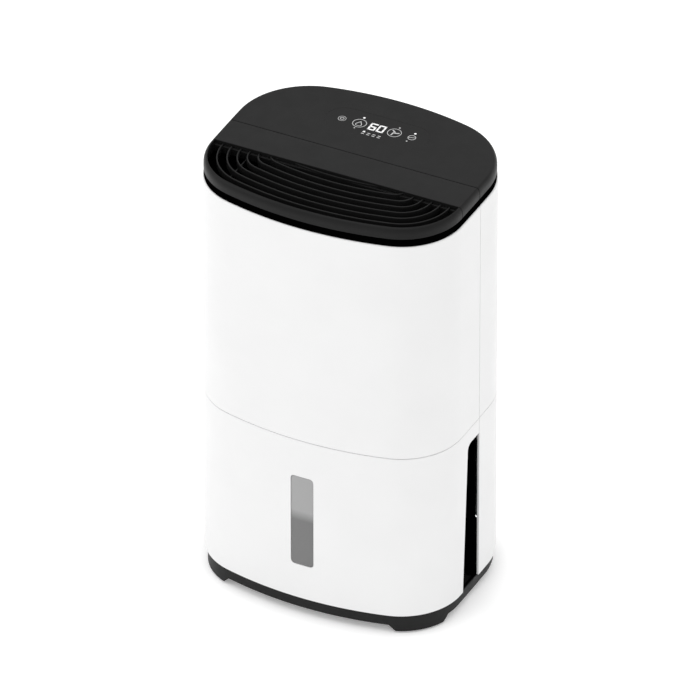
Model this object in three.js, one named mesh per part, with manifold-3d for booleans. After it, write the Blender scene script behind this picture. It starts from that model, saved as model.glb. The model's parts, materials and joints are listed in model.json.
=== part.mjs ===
// A free-standing compressor dehumidifier, in millimetres, +Z up.
// The front (water window side) faces -Y and the right-hand side faces +X.
// The origin is on the floor, under the middle of the body.
import * as THREE from 'three';
import { mergeVertices } from 'three/addons/utils/BufferGeometryUtils.js';
import Module from 'manifold-3d';

const wasm = await Module();
wasm.setup();

// ---------------------------------------------------------------- driving dimensions
const width = 290;
const depth = 232;
const height = 506;

const frontBow = 379; // plan radius of the bowed front face
const rearBow = 356; // plan radius of the bowed rear face
const sideBow = 3000; // plan radius of the almost flat sides
const frontCorner = 69; // plan radius of the front corners
const rearCorner = 83; // plan radius of the rear corners

const shellWall = 2.5;
const seamGap = 0.6; // between two shells that meet edge to edge
const rest = 0.3; // between a piece and the one it sits on
const slide = 0.5; // beside a piece that slides or is dropped in
const turn = 0.4; // around a pin or shaft that turns

// heights of the stack, from the floor up
const padHeight = 2;
const archHeight = 9.5; // underside of the skirt between the feet
const archSlope = 5; // how far each end of an arch leans
const bodyBottom = 23;
const seamHeight = 221.5; // top of the water tank's front cover
const lidThickness = 12.6;
const neckHeight = 9.2;
const lidBottom = height - lidThickness;
const shoulderHeight = lidBottom - neckHeight;

// compressor, which sets the depth of the rear bay
const compressorRadius = 46;
const compressorMargin = 8.5; // air space in front of and behind the compressor
const rearBayDepth = 2 * (compressorRadius + compressorMargin) + shellWall;
const splitY = depth / 2 - rearBayDepth - shellWall + 2; // where front and rear shells meet

// lid, handle and air outlet
const lidInset = 1;
const lidBevelInset = 3.8;
const lidBevelHeight = 7.5;
const lidSkin = 2.7;
const rimWidth = 5.2; // of the air outlet, measured from the body's outline
const stripDepth = 40; // of the carry handle, front to back
const ribPitch = 10.4;
const ribWidth = 1.5;
const ribTop = height - 2.2;
const ribHeight = 8;
const barDepth = 3; // of the cross bars under the ribs
const neckInset = 1.2;
const neckWall = 3;
const handleTravel = 45;
const legWidth = 10;
const legDepth = 27;
const legEngaged = 55; // what stays in the guide when the handle is fully up
const guideWall = 1.8;

// water tank
const tankWall = 2.2;
const bucketHalfWidth = width / 2 - 27.5; // leaves the finger pockets beside it
const bucketTop = 170;
const bucketGapToCover = 0.7;
const windowWidth = 26;
const windowHeight = 111;
const windowBottom = bodyBottom + 42;
const windowCorner = 4.5;
const slotTop = 203; // finger slots at both sides
const slotDepthTop = 26;
const slotDepthBottom = 36;
const slotCorner = 7;
const ceilingHeight = 210;
const bayWall = 2.5;
const bailRadius = 3.5;

// fan
const impellerRadius = 66;
const impellerWidth = 46;
const scrollWall = 2.5;
const motorRadius = 31;
const motorLength = 21;
const shaftRadius = 4;

// coils
const coilSideRoom = 7.45; // from the drip pan's ends to the rear shell
const coilHeadroom = 46.7; // from the coils up to the shoulder
const evaporatorDepth = 18;
const condenserDepth = 16;
const panHeight = 10;
const spoutRadius = 7;
const spoutY = splitY - 28;

// ---------------------------------------------------------------- materials
function plastic(color, roughness) {
  return new THREE.MeshStandardMaterial({ color, roughness, metalness: 0 });
}
function metal(color, roughness) {
  return new THREE.MeshStandardMaterial({ color, roughness, metalness: 1 });
}
const whitePlastic = plastic(0xf1f1f0, 0.35);
const lidPlastic = plastic(0x3a3a3b, 0.45);
const panelPlastic = plastic(0x323233, 0.3);
const basePlastic = plastic(0x38383a, 0.5);
const blackPlastic = plastic(0x0e0e0f, 0.6);
const smokedLens = new THREE.MeshStandardMaterial({
  color: 0x9a9c9e, roughness: 0.12, transparent: true, opacity: 0.6,
});
const tankPlastic = plastic(0x8d9093, 0.3);
const greyPlastic = plastic(0xb9bbbd, 0.5);
const foam = plastic(0xe8e6df, 0.9);
const rubber = plastic(0x161616, 0.85);
const meshFabric = plastic(0x55585b, 0.9);
const boardGreen = plastic(0x1f5a3a, 0.5);
const enamel = plastic(0x17181a, 0.35);
const fins = metal(0xc9ccd0, 0.4);
const copper = metal(0xb87346, 0.35);
const steel = metal(0x9b9da0, 0.35);

// ---------------------------------------------------------------- solids
function toSolid(geometry) {
  const bare = geometry.clone();
  bare.deleteAttribute('normal');
  bare.deleteAttribute('uv');
  const merged = mergeVertices(bare, 1e-4);
  return new wasm.Manifold(new wasm.Mesh({
    numProp: 3,
    vertProperties: new Float32Array(merged.attributes.position.array),
    triVerts: new Uint32Array(merged.index.array),
  }));
}
function toGeometry(solid) {
  const mesh = solid.getMesh();
  const geometry = new THREE.BufferGeometry();
  geometry.setAttribute('position', new THREE.BufferAttribute(mesh.vertProperties, 3));
  geometry.setIndex(new THREE.BufferAttribute(mesh.triVerts, 1));
  geometry.computeVertexNormals();
  return geometry;
}
function join(first, ...others) {
  return toGeometry(others.reduce((sum, other) => sum.add(toSolid(other)), toSolid(first)));
}
function cut(first, ...tools) {
  return toGeometry(tools.reduce((left, tool) => left.subtract(toSolid(tool)), toSolid(first)));
}
function common(first, ...others) {
  return toGeometry(others.reduce((both, other) => both.intersect(toSolid(other)), toSolid(first)));
}

function block(x0, x1, y0, y1, z0, z1) {
  const box = new THREE.BoxGeometry(x1 - x0, y1 - y0, z1 - z0);
  return box.translate((x0 + x1) / 2, (y0 + y1) / 2, (z0 + z1) / 2);
}
function prismUp(shape, bottom, top) {
  const prism = new THREE.ExtrudeGeometry(shape, { depth: top - bottom, bevelEnabled: false });
  return prism.translate(0, 0, bottom);
}
// A shape drawn in (x, z), carried along Y.
function prismBack(shape, front, back, curveSegments = 6) {
  const prism = new THREE.ExtrudeGeometry(shape, {
    depth: back - front, bevelEnabled: false, curveSegments,
  });
  return prism.rotateX(Math.PI / 2).translate(0, back, 0);
}
// A shape drawn in (y, z), carried along X.
function prismRight(shape, left, right) {
  const prism = new THREE.ExtrudeGeometry(shape, { depth: right - left, bevelEnabled: false });
  const turnAxes = new THREE.Matrix4().makeBasis(
    new THREE.Vector3(0, 1, 0), new THREE.Vector3(0, 0, 1), new THREE.Vector3(1, 0, 0),
  );
  return prism.applyMatrix4(turnAxes).translate(left, 0, 0);
}
function rodUp(radius, x, y, z0, z1, sides = 20) {
  const rod = new THREE.CylinderGeometry(radius, radius, z1 - z0, sides);
  return rod.rotateX(Math.PI / 2).translate(x, y, (z0 + z1) / 2);
}
function rodBack(radius, x, z, y0, y1, sides = 20) {
  const rod = new THREE.CylinderGeometry(radius, radius, y1 - y0, sides);
  return rod.translate(x, (y0 + y1) / 2, z);
}
function rodRight(radius, y, z, x0, x1, sides = 16) {
  const rod = new THREE.CylinderGeometry(radius, radius, x1 - x0, sides);
  return rod.rotateZ(Math.PI / 2).translate((x0 + x1) / 2, y, z);
}
// A profile of [radius, height] pairs turned about a vertical axis.
function turnedUp(profile, x, y, sides = 28) {
  const points = profile.map(([r, z]) => new THREE.Vector2(r, z));
  const body = new THREE.LatheGeometry(points, sides);
  return body.rotateX(Math.PI / 2).translate(x, y, 0);
}
function tubeAlong(points, radius, stepLength, sides = 8) {
  const circle = new THREE.Shape();
  for (let i = 0; i < sides; i += 1) {
    const angle = (2 * Math.PI * i) / sides;
    circle[i === 0 ? 'moveTo' : 'lineTo'](radius * Math.cos(angle), radius * Math.sin(angle));
  }
  const path = new THREE.CatmullRomCurve3(points, false, 'centripetal');
  const steps = Math.ceil(path.getLength() / stepLength);
  return new THREE.ExtrudeGeometry(circle, { steps, extrudePath: path, bevelEnabled: false });
}
function roundedRectangle(x0, x1, z0, z1, radius) {
  const shape = new THREE.Shape();
  shape.absarc(x1 - radius, z0 + radius, radius, -Math.PI / 2, 0, false);
  shape.absarc(x1 - radius, z1 - radius, radius, 0, Math.PI / 2, false);
  shape.absarc(x0 + radius, z1 - radius, radius, Math.PI / 2, Math.PI, false);
  shape.absarc(x0 + radius, z0 + radius, radius, Math.PI, 1.5 * Math.PI, false);
  return shape;
}

// ---------------------------------------------------------------- plan outline of the body
// Front and rear bows, flat sides and corner arcs, each arc tangent to its neighbours.
// An inset moves every arc inwards about its own centre, until a corner becomes sharp.
const sideCentre = new THREE.Vector2(width / 2 - sideBow, 0);
const cornerSteps = 8;

function cornerBetween(bowCentre, bowRadius, sideRadius, cornerRadius, ySign) {
  const fromBow = bowRadius - cornerRadius;
  const fromSide = sideRadius - cornerRadius;
  const between = sideCentre.clone().sub(bowCentre);
  const gap = between.length();
  const along = (fromBow ** 2 - fromSide ** 2 + gap ** 2) / (2 * gap);
  const across = Math.sqrt(fromBow ** 2 - along ** 2);
  const direction = between.clone().divideScalar(gap);
  const foot = bowCentre.clone().addScaledVector(direction, along);
  const normal = new THREE.Vector2(-direction.y, direction.x);
  const both = [across, -across].map((step) => foot.clone().addScaledVector(normal, step));
  return both[0].y * ySign > both[1].y * ySign ? both[0] : both[1];
}
const frontBowCentre = new THREE.Vector2(0, frontBow - depth / 2);
const rearBowCentre = new THREE.Vector2(0, depth / 2 - rearBow);
const frontCornerCentre = cornerBetween(frontBowCentre, frontBow, sideBow, frontCorner, -1);
const rearCornerCentre = cornerBetween(rearBowCentre, rearBow, sideBow, rearCorner, 1);

function arc(centre, radius, from, to, steps) {
  const points = [];
  for (let i = 0; i < steps; i += 1) {
    const angle = from + ((to - from) * i) / steps;
    points.push(new THREE.Vector2(
      centre.x + radius * Math.cos(angle),
      centre.y + radius * Math.sin(angle),
    ));
  }
  return points;
}
function heading(from, to) {
  return Math.atan2(to.y - from.y, to.x - from.x);
}
function outlinePoints(inset) {
  const frontRadius = Math.max(frontCorner - inset, 1);
  const rearRadius = Math.max(rearCorner - inset, 1);
  const sideRadius = sideBow - inset;
  const front = cornerBetween(frontBowCentre, frontBow - inset, sideRadius, frontRadius, -1);
  const rear = cornerBetween(rearBowCentre, rearBow - inset, sideRadius, rearRadius, 1);
  const frontSteps = Math.ceil(cornerSteps * Math.sqrt(frontRadius / frontCorner));
  const rearSteps = Math.ceil(cornerSteps * Math.sqrt(rearRadius / rearCorner));
  const frontTurn = heading(frontBowCentre, front);
  const rearTurn = heading(rearBowCentre, rear);
  const right = [
    ...arc(frontBowCentre, frontBow - inset, -Math.PI / 2, frontTurn, 5),
    ...arc(front, frontRadius, frontTurn, heading(sideCentre, front), frontSteps),
    ...arc(sideCentre, sideRadius, heading(sideCentre, front), heading(sideCentre, rear), 1),
    ...arc(rear, rearRadius, heading(sideCentre, rear), rearTurn, rearSteps),
    ...arc(rearBowCentre, rearBow - inset, rearTurn, Math.PI / 2, 4),
  ];
  const rearMiddle = new THREE.Vector2(0, depth / 2 - inset);
  const left = right.slice(1).reverse().map((point) => new THREE.Vector2(-point.x, point.y));
  return [...right, rearMiddle, ...left];
}
function outline(inset) {
  return new THREE.Shape(outlinePoints(inset));
}
function ring(outerInset, innerInset) {
  const shape = outline(outerInset);
  shape.holes.push(new THREE.Path(outlinePoints(innerInset).reverse()));
  return shape;
}
function slabOf(inset, bottom, top) {
  return prismUp(outline(inset), bottom, top);
}
function wallOf(outerInset, innerInset, bottom, top) {
  return prismUp(ring(outerInset, innerInset), bottom, top);
}

// Half width of the outline at a given y, pushed in by an inset.
function halfWidthAt(y, inset) {
  const points = outlinePoints(inset);
  const crossings = points.map((start, i) => {
    const end = points[(i + 1) % points.length];
    const crosses = (start.y > y) !== (end.y > y);
    const share = crosses ? (y - start.y) / (end.y - start.y) : 0;
    return crosses ? start.x + share * (end.x - start.x) : 0;
  });
  return Math.max(...crossings);
}

// Half spaces, as big blocks, that divide the body into front and rear pieces.
const far = 2 * (width + depth + height);
function inFrontOf(y) {
  return block(-far, far, -far, y, -far, far);
}
function behind(y) {
  return block(-far, far, y, far, -far, far);
}
// How far back or forward the outline reaches at a given x.
function rearSurfaceAt(x) {
  return rearBowCentre.y + Math.sqrt(rearBow ** 2 - x ** 2);
}

// ---------------------------------------------------------------- the object
const dehumidifier = new THREE.Group();
function add(name, geometry, material) {
  const mesh = new THREE.Mesh(geometry, material);
  mesh.name = name;
  dehumidifier.add(mesh);
}

// ---------------------------------------------------------------- base
const plinthInset = 3;
const plinthWall = 3;
const plateThickness = 4.5;
const baseTop = bodyBottom - rest;
const frontHalfGapX = width / 2 - 47; // the arches stop here, and the feet begin
const rearHalfGapX = width / 2 - 57;
const footHalfGapY = depth / 2 - 56;
const padRadius = 9;
const padInset = padRadius + plinthWall + 2;
const diagonal = Math.SQRT1_2;

// The low arch between two feet, with sloping ends.
function archShape(halfGap) {
  const shape = new THREE.Shape();
  shape.moveTo(-halfGap - archSlope, -1);
  shape.lineTo(halfGap + archSlope, -1);
  shape.lineTo(halfGap - archSlope, archHeight);
  shape.lineTo(archSlope - halfGap, archHeight);
  shape.closePath();
  return shape;
}
function baseTray() {
  const soleHeight = padHeight + rest;
  const underPlate = baseTop - plateThickness;
  const whole = slabOf(plinthInset, soleHeight, baseTop);
  const frontArch = prismBack(archShape(frontHalfGapX), -far, -depth / 4);
  const rearArch = prismBack(archShape(rearHalfGapX), -depth / 2, far);
  const archY = prismRight(archShape(footHalfGapY), -far, far);
  const inner = slabOf(plinthInset + plinthWall, 0, underPlate);
  const clearX = rearHalfGapX - archSlope;
  const clearY = footHalfGapY - archSlope;
  const hollowX = common(inner, block(-clearX, clearX, -far, far, 0, underPlate));
  const hollowY = common(inner, block(-far, far, -clearY, clearY, 0, underPlate));
  return cut(whole, frontArch, rearArch, archY, hollowX, hollowY);
}
add('base_tray', baseTray(), basePlastic);

const footPlaces = [
  ['front_right', frontCornerCentre, frontCorner, 1, -1],
  ['front_left', frontCornerCentre, frontCorner, -1, -1],
  ['rear_right', rearCornerCentre, rearCorner, 1, 1],
  ['rear_left', rearCornerCentre, rearCorner, -1, 1],
];
for (const [place, centre, cornerRadius, xSign, ySign] of footPlaces) {
  const reach = (cornerRadius - plinthInset - padInset) * diagonal;
  const x = xSign * (centre.x + reach);
  const y = centre.y + ySign * reach;
  add(`foot_pad_${place}`, rodUp(padRadius, x, y, 0, padHeight, 24), rubber);
}

// ---------------------------------------------------------------- white shells
const frontEnd = splitY - seamGap / 2;
const rearStart = splitY + seamGap / 2;
const upperBottom = seamHeight + seamGap / 2;
const lowerTop = seamHeight - seamGap / 2;
const shoulderWidth = 6.5;

const screwX = 80;
const screwRadius = 4;
const screwHeights = [['lower', bodyBottom + 14], ['upper', shoulderHeight - 13]];
function screwHole(x, z) {
  return rodBack(screwRadius + turn, x, z, 0, far, 14);
}

const meshFront = depth / 2 - 19;
const meshThickness = 3;
const meshBorder = 6; // between the mesh and the edge of the inlet
const meshSideRoom = 7.24; // from the mesh's ends to the rear shell
const inletHalfWidth = halfWidthAt(meshFront + meshThickness, shellWall) - meshSideRoom + meshBorder;
const inletBottom = seamHeight + 28.5;
const inletTop = shoulderHeight - 31.5;

const glandX = -40;
const glandZ = 70;
const glandRadius = 7.4;
const plugX = 60;
const plugZ = seamHeight - 17;
const plugRadius = 6.8;

function upperWall() {
  const shoulder = wallOf(0, shoulderWidth, shoulderHeight - shellWall, shoulderHeight);
  return join(wallOf(0, shellWall, upperBottom, shoulderHeight), shoulder);
}
add('front_shell', common(upperWall(), inFrontOf(frontEnd)), whitePlastic);

function rearUpperShell() {
  const shell = common(upperWall(), behind(rearStart));
  const inlet = block(-inletHalfWidth, inletHalfWidth, splitY + 40, far, inletBottom, inletTop);
  const upperScrews = [1, -1].map((side) => screwHole(side * screwX, screwHeights[1][1]));
  return cut(shell, inlet, ...upperScrews);
}
add('rear_upper_shell', rearUpperShell(), whitePlastic);

function rearLowerShell() {
  const shell = common(wallOf(0, shellWall, bodyBottom, lowerTop), behind(rearStart));
  const glandHole = rodBack(glandRadius + turn, glandX, glandZ, 0, far, 20);
  const plugHole = rodBack(plugRadius + turn, plugX, plugZ, 0, far, 20);
  const lowerScrews = [1, -1].map((side) => screwHole(side * screwX, screwHeights[0][1]));
  return cut(shell, glandHole, plugHole, ...lowerScrews);
}
add('rear_lower_shell', rearLowerShell(), whitePlastic);

const screwSeat = rearSurfaceAt(screwX) - 3.2;
for (const [level, z] of screwHeights) {
  for (const [side, x] of [['right', screwX], ['left', -screwX]]) {
    const head = rodBack(screwRadius, x, z, screwSeat, screwSeat + 2.6, 14);
    const shank = rodBack(1.8, x, z, screwSeat - 12, screwSeat + 0.1, 10);
    const slot = block(x - 2.6, x + 2.6, screwSeat + 1.6, screwSeat + 3, z - 0.5, z + 0.5);
    const crossSlot = block(x - 0.5, x + 0.5, screwSeat + 1.6, screwSeat + 3, z - 2.6, z + 2.6);
    add(`rear_screw_${level}_${side}`, cut(join(head, shank), slot, crossSlot), steel);
  }
}

// cord gland: a flanged bush held from inside, with the hole for the mains cord
function cordGland() {
  const surface = rearSurfaceAt(glandX);
  const flangeFront = surface - shellWall - 4;
  const flange = rodBack(glandRadius + 3, glandX, glandZ, flangeFront, flangeFront + 2.2, 20);
  const nose = rodBack(glandRadius, glandX, glandZ, flangeFront, surface + 1.6, 20);
  const bore = rodBack(4, glandX, glandZ, flangeFront - 1, surface + 3, 16);
  return cut(join(flange, nose), bore);
}
add('cord_gland', cordGland(), rubber);

// drain plug: closes the outlet for continuous drainage
function drainPlug() {
  const headBack = rearSurfaceAt(plugX - plugRadius - 2.4) + rest;
  const head = rodBack(plugRadius + 2.4, plugX, plugZ, headBack, headBack + 1.6, 24);
  const tab = block(plugX - 4, plugX + 4, headBack + 1, headBack + 3, plugZ - 1, plugZ + 1);
  const stem = rodBack(plugRadius, plugX, plugZ, headBack - 9, headBack + 0.5, 20);
  return join(head, stem, tab);
}
add('drain_plug', drainPlug(), rubber);

// ---------------------------------------------------------------- air filter at the rear
const louvrePitch = 18;
const louvreGap = 11;

function filterCover() {
  const halfWidth = inletHalfWidth - slide;
  const bottom = inletBottom + slide;
  const top = inletTop - slide;
  const frame = 8;
  const panel = common(
    wallOf(0, shellWall, bottom, top),
    block(-halfWidth, halfWidth, splitY + 40, far, bottom, top),
  );
  const gaps = [];
  const count = Math.floor((top - bottom - 2 * frame) / louvrePitch);
  const start = (bottom + top) / 2 - ((count - 1) * louvrePitch) / 2;
  const bay = (halfWidth - frame - 1.5) / 2;
  for (let row = 0; row < count; row += 1) {
    const z = start + row * louvrePitch;
    for (const centre of [-1.5 - bay, 1.5 + bay]) {
      gaps.push(block(centre - bay, centre + bay, 0, far, z - louvreGap / 2, z + louvreGap / 2));
    }
  }
  return cut(panel, ...gaps);
}
add('filter_cover', filterCover(), whitePlastic);
add('filter_mesh', block(
  -inletHalfWidth + meshBorder, inletHalfWidth - meshBorder,
  meshFront, meshFront + meshThickness,
  inletBottom + meshBorder, inletTop - meshBorder,
), meshFabric);

// ---------------------------------------------------------------- neck and top frame
// The fan's places from front to back, which the frame's outlet follows.
const motorFront = -depth / 2 + shellWall + 3;
const motorBack = motorFront + motorLength;
const scrollFront = motorBack + rest;
const scrollBack = scrollFront + scrollWall * 2 + impellerWidth + 5;
const scrollSmall = impellerRadius + 6;
const scrollLarge = impellerRadius + 27;

const stripBack = splitY;
const stripFront = splitY - stripDepth;
const legOuter = width / 2 - 9;
const legInner = legOuter - legWidth;
const legFront = (stripFront + stripBack) / 2 - legDepth / 2;
const legBack = legFront + legDepth;

// Neck wall, deck under the whole lid with the fan's outlet in it, and a wall behind the grille.
function topFrame() {
  const bottom = shoulderHeight + rest;
  const top = lidBottom - rest;
  const neck = wallOf(neckInset, neckInset + neckWall, bottom, top);
  const deck = slabOf(neckInset + 1.5, bottom, bottom + 2.5);
  const outlet = block(
    scrollSmall / 2 + 1, scrollLarge - 1,
    scrollFront + scrollWall, Math.min(scrollBack - scrollWall, stripFront), 0, far,
  );
  const partition = common(
    slabOf(neckInset + 1.5, bottom, top),
    block(-far, far, stripFront + slide, stripFront + slide + 2.5, 0, far),
  );
  const legHoles = [1, -1].map((side) => {
    const a = side * (legInner - slide);
    const b = side * (legOuter + slide);
    return block(Math.min(a, b), Math.max(a, b), legFront - slide, legBack + slide, 0, far);
  });
  return cut(join(neck, deck, partition), outlet, ...legHoles);
}
add('top_frame', topFrame(), blackPlastic);

// ---------------------------------------------------------------- lid
// The lid is one rounded slab, divided into control cover, carry handle and air outlet.
function lidSlab() {
  const straight = lidThickness - lidBevelHeight;
  const slab = new THREE.ExtrudeGeometry(outline(lidInset), {
    depth: straight,
    bevelEnabled: true,
    bevelThickness: lidBevelHeight,
    bevelSize: lidBevelInset,
    bevelOffset: -lidBevelInset,
    bevelSegments: 3,
  }).translate(0, 0, lidBottom);
  return common(slab, block(-far, far, -far, far, lidBottom, far));
}
const panelLength = 116;
const panelDepth = 42;
const panelY = 57;
const panelThickness = 1;

function panelShape(inset) {
  const radius = panelDepth / 2 - inset;
  const shape = new THREE.Shape();
  shape.absarc(panelLength / 2 - panelDepth / 2, panelY, radius, -Math.PI / 2, Math.PI / 2, false);
  shape.absarc(panelDepth / 2 - panelLength / 2, panelY, radius, Math.PI / 2, 1.5 * Math.PI, false);
  return shape;
}
function controlCover() {
  const cover = common(lidSlab(), behind(rearStart));
  const skirtHollow = slabOf(lidInset + lidSkin, 0, height - lidBevelHeight);
  const topHollow = slabOf(lidInset + lidBevelInset + lidSkin, 0, height - lidSkin);
  const hollow = common(join(skirtHollow, topHollow), behind(rearStart + lidSkin));
  const recess = prismUp(panelShape(0), height - panelThickness - rest, far);
  return cut(cover, hollow, recess);
}
add('control_cover', controlCover(), lidPlastic);
add('touch_panel', prismUp(panelShape(rest), height - panelThickness, height), panelPlastic);

function controlBoard() {
  const boardBottom = lidBottom + 3;
  const board = block(-62, 62, panelY - 21, panelY + 21, boardBottom, boardBottom + 1.6);
  const digits = block(-11, 11, panelY - 8, panelY + 8, boardBottom + 1, boardBottom + 6);
  const pads = [-40, -20, 20, 40].map((x) => (
    rodUp(6, x, panelY, boardBottom + 1, boardBottom + 6, 16)
  ));
  return join(board, digits, ...pads);
}
add('control_board', controlBoard(), boardGreen);

// ---------------------------------------------------------------- pull-up carry handle
const barThickness = 6.5;
const legBottom = shoulderHeight - shellWall - handleTravel - legEngaged;
function carryHandle() {
  const strip = common(lidSlab(), inFrontOf(stripBack - seamGap / 2), behind(stripFront + seamGap / 2));
  const hollow = slabOf(lidInset + lidSkin + 1, 0, height - barThickness);
  const bar = cut(strip, hollow);
  const legs = [1, -1].map((side) => {
    const a = side * legInner;
    const b = side * legOuter;
    return block(Math.min(a, b), Math.max(a, b), legFront, legBack, legBottom, height - barThickness + 1);
  });
  return join(bar, ...legs);
}
add('carry_handle', carryHandle(), lidPlastic);

for (const [place, side] of [['right', 1], ['left', -1]]) {
  const bottom = legBottom - 6;
  const top = shoulderHeight - shellWall - rest;
  const reach = slide + guideWall;
  const a = side * (legInner - reach);
  const b = side * (legOuter + reach);
  const c = side * (legInner - slide);
  const d = side * (legOuter + slide);
  const sleeve = block(Math.min(a, b), Math.max(a, b), legFront - reach, legBack + reach, bottom, top);
  const bore = block(Math.min(c, d), Math.max(c, d), legFront - slide, legBack + slide, bottom + 3, far);
  add(`handle_guide_${place}`, cut(sleeve, bore), greyPlastic);
}

// ---------------------------------------------------------------- air outlet grille
function outletGrille() {
  const inFront = inFrontOf(stripFront - seamGap / 2);
  const rim = cut(lidSlab(), slabOf(rimWidth, 0, far));
  const ribs = [];
  const ribCount = Math.floor((stripFront + depth / 2 - rimWidth) / ribPitch);
  for (let i = 1; i <= ribCount; i += 1) {
    const inset = rimWidth + i * ribPitch - ribWidth;
    ribs.push(wallOf(inset, inset + ribWidth, ribTop - ribHeight, ribTop));
  }
  const barTop = ribTop - ribHeight + 1;
  const bars = [-100, -50, 0, 50, 100].map((x) => (
    common(block(x - 0.8, x + 0.8, -far, far, barTop - barDepth, barTop), slabOf(rimWidth - 1, 0, far))
  ));
  const rearBar = common(
    block(-far, far, stripFront - 3, stripFront, barTop - barDepth, ribTop - 2),
    slabOf(rimWidth - 1, 0, far),
  );
  return common(join(rim, ...ribs, ...bars, rearBar), inFront);
}
add('outlet_grille', outletGrille(), lidPlastic);

// ---------------------------------------------------------------- water tank
const coverBottom = bodyBottom + rest;
const bucketInset = shellWall + bucketGapToCover;
const bulkheadFront = splitY - 3.5;
const bucketBack = bulkheadFront - 1.7;
const bucketBottom = baseTop + rest;

function fingerSlot() {
  const below = coverBottom - 10;
  const lean = (slotDepthBottom - slotDepthTop) / (slotTop - bodyBottom);
  const shape = new THREE.Shape();
  shape.moveTo(splitY + 20, below);
  shape.lineTo(splitY + 20, slotTop);
  shape.lineTo(splitY - slotDepthTop + slotCorner, slotTop);
  shape.quadraticCurveTo(
    splitY - slotDepthTop, slotTop,
    splitY - slotDepthTop - lean * slotCorner, slotTop - slotCorner,
  );
  shape.lineTo(splitY - slotDepthTop - lean * (slotTop - below), below);
  shape.closePath();
  return prismRight(shape, -far, far);
}
function tankFront() {
  const wall = wallOf(0, shellWall, coverBottom, lowerTop);
  const topFlange = wallOf(0, 9, lowerTop - 2.5, lowerTop);
  const opening = prismBack(roundedRectangle(
    -windowWidth / 2, windowWidth / 2, windowBottom, windowBottom + windowHeight, windowCorner,
  ), -far, -depth / 4);
  const cover = common(join(wall, topFlange), inFrontOf(frontEnd));
  const ledge = block(-far, far, splitY - slotDepthTop - 2, far, lowerTop - 4, lowerTop + 1);
  const sideSlots = cut(fingerSlot(), ledge);
  return cut(cover, sideSlots, opening);
}
add('tank_front', tankFront(), whitePlastic);

add('level_window', prismBack(roundedRectangle(
  -windowWidth / 2 + rest, windowWidth / 2 - rest,
  windowBottom + rest, windowBottom + windowHeight - rest, windowCorner - rest,
), -depth / 2 + 0.6, -depth / 2 + shellWall + 0.4), smokedLens);

const bailPivotY = splitY - 49;
const bailPivotZ = bucketTop - 6;
const bailPinRadius = 2.6;
const floatPivotY = bucketBack - tankWall - 5.6;
const floatPivotZ = bucketTop - 20;
const floatLeft = 58;
const floatRight = 102;
const ledgeDepth = 13; // fixed rear strip of the tank's top, where the bail rests

function tankSpace(inset, halfWidth, back, bottom, top) {
  return common(slabOf(inset, bottom, top), block(-halfWidth, halfWidth, -far, back, 0, far));
}
function tankBucket() {
  const outside = tankSpace(bucketInset, bucketHalfWidth, bucketBack, bucketBottom, bucketTop);
  const inside = tankSpace(
    bucketInset + tankWall, bucketHalfWidth - tankWall, bucketBack - tankWall,
    bucketBottom + tankWall, bucketTop + 1,
  );
  const ledge = block(
    -bucketHalfWidth + 1, bucketHalfWidth - 1,
    bucketBack - ledgeDepth, bucketBack - 1, bucketTop - 2.5, bucketTop,
  );
  const pins = [1, -1].map((side) => {
    const a = side * (bucketHalfWidth - 1);
    const b = side * (bucketHalfWidth + 3.4);
    return rodRight(bailPinRadius, bailPivotY, bailPivotZ, Math.min(a, b), Math.max(a, b), 14);
  });
  const ears = [[floatLeft, floatLeft + 3], [floatRight - 3, floatRight]].map(([a, b]) => block(
    a, b, floatPivotY - 4.5, bucketBack - 1, floatPivotZ - 4.5, floatPivotZ + 4.5,
  ));
  const earHole = rodRight(1.8 + turn, floatPivotY, floatPivotZ, floatLeft - 1, floatRight + 1, 12);
  return join(cut(join(cut(outside, inside), ...ears), earHole), ledge, ...pins);
}
add('tank_bucket', tankBucket(), tankPlastic);

function tankLid() {
  const plate = tankSpace(
    bucketInset, bucketHalfWidth, bucketBack - ledgeDepth - rest,
    bucketTop + rest, bucketTop + 2.8,
  );
  const lipOuter = tankSpace(
    bucketInset + tankWall + slide, bucketHalfWidth - tankWall - slide,
    bucketBack - ledgeDepth - slide, bucketTop - 4, bucketTop + 1,
  );
  const lipInner = tankSpace(
    bucketInset + tankWall + slide + 1.6, bucketHalfWidth - tankWall - slide - 1.6,
    bucketBack - ledgeDepth - slide - 1.6, bucketTop - 5, bucketTop + 0.6,
  );
  const dripHole = rodUp(spoutRadius + 6, 0, spoutY, 0, far, 24);
  return cut(join(plate, cut(lipOuter, lipInner)), dripHole);
}
add('tank_lid', tankLid(), greyPlastic);

// Bail: two flat arms on the tank's pins, and a round bar that rests on the tank's rear ledge.
const bailBarY = bucketBack - 6.5;
const bailBarZ = bucketTop + rest + bailRadius;
function tankBail() {
  const armInner = bucketHalfWidth + slide;
  const armOuter = armInner + 2.6;
  const arms = [1, -1].map((side) => {
    const shape = new THREE.Shape();
    const lean = Math.atan2(bailBarZ - bailPivotZ, bailBarY - bailPivotY);
    const half = 4.6;
    shape.absarc(bailPivotY, bailPivotZ, half, lean + Math.PI / 2, lean + 1.5 * Math.PI, false);
    shape.absarc(bailBarY, bailBarZ, bailRadius, lean - Math.PI / 2, lean + Math.PI / 2, false);
    const arm = prismRight(shape, Math.min(side * armInner, side * armOuter),
      Math.max(side * armInner, side * armOuter));
    const eye = rodRight(bailPinRadius + turn, bailPivotY, bailPivotZ, -far, far, 14);
    return cut(arm, eye);
  });
  const bar = rodRight(bailRadius - 0.4, bailBarY, bailBarZ, -armInner - 1, armInner + 1, 14);
  return join(bar, ...arms);
}
add('tank_bail', tankBail(), greyPlastic);

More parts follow.
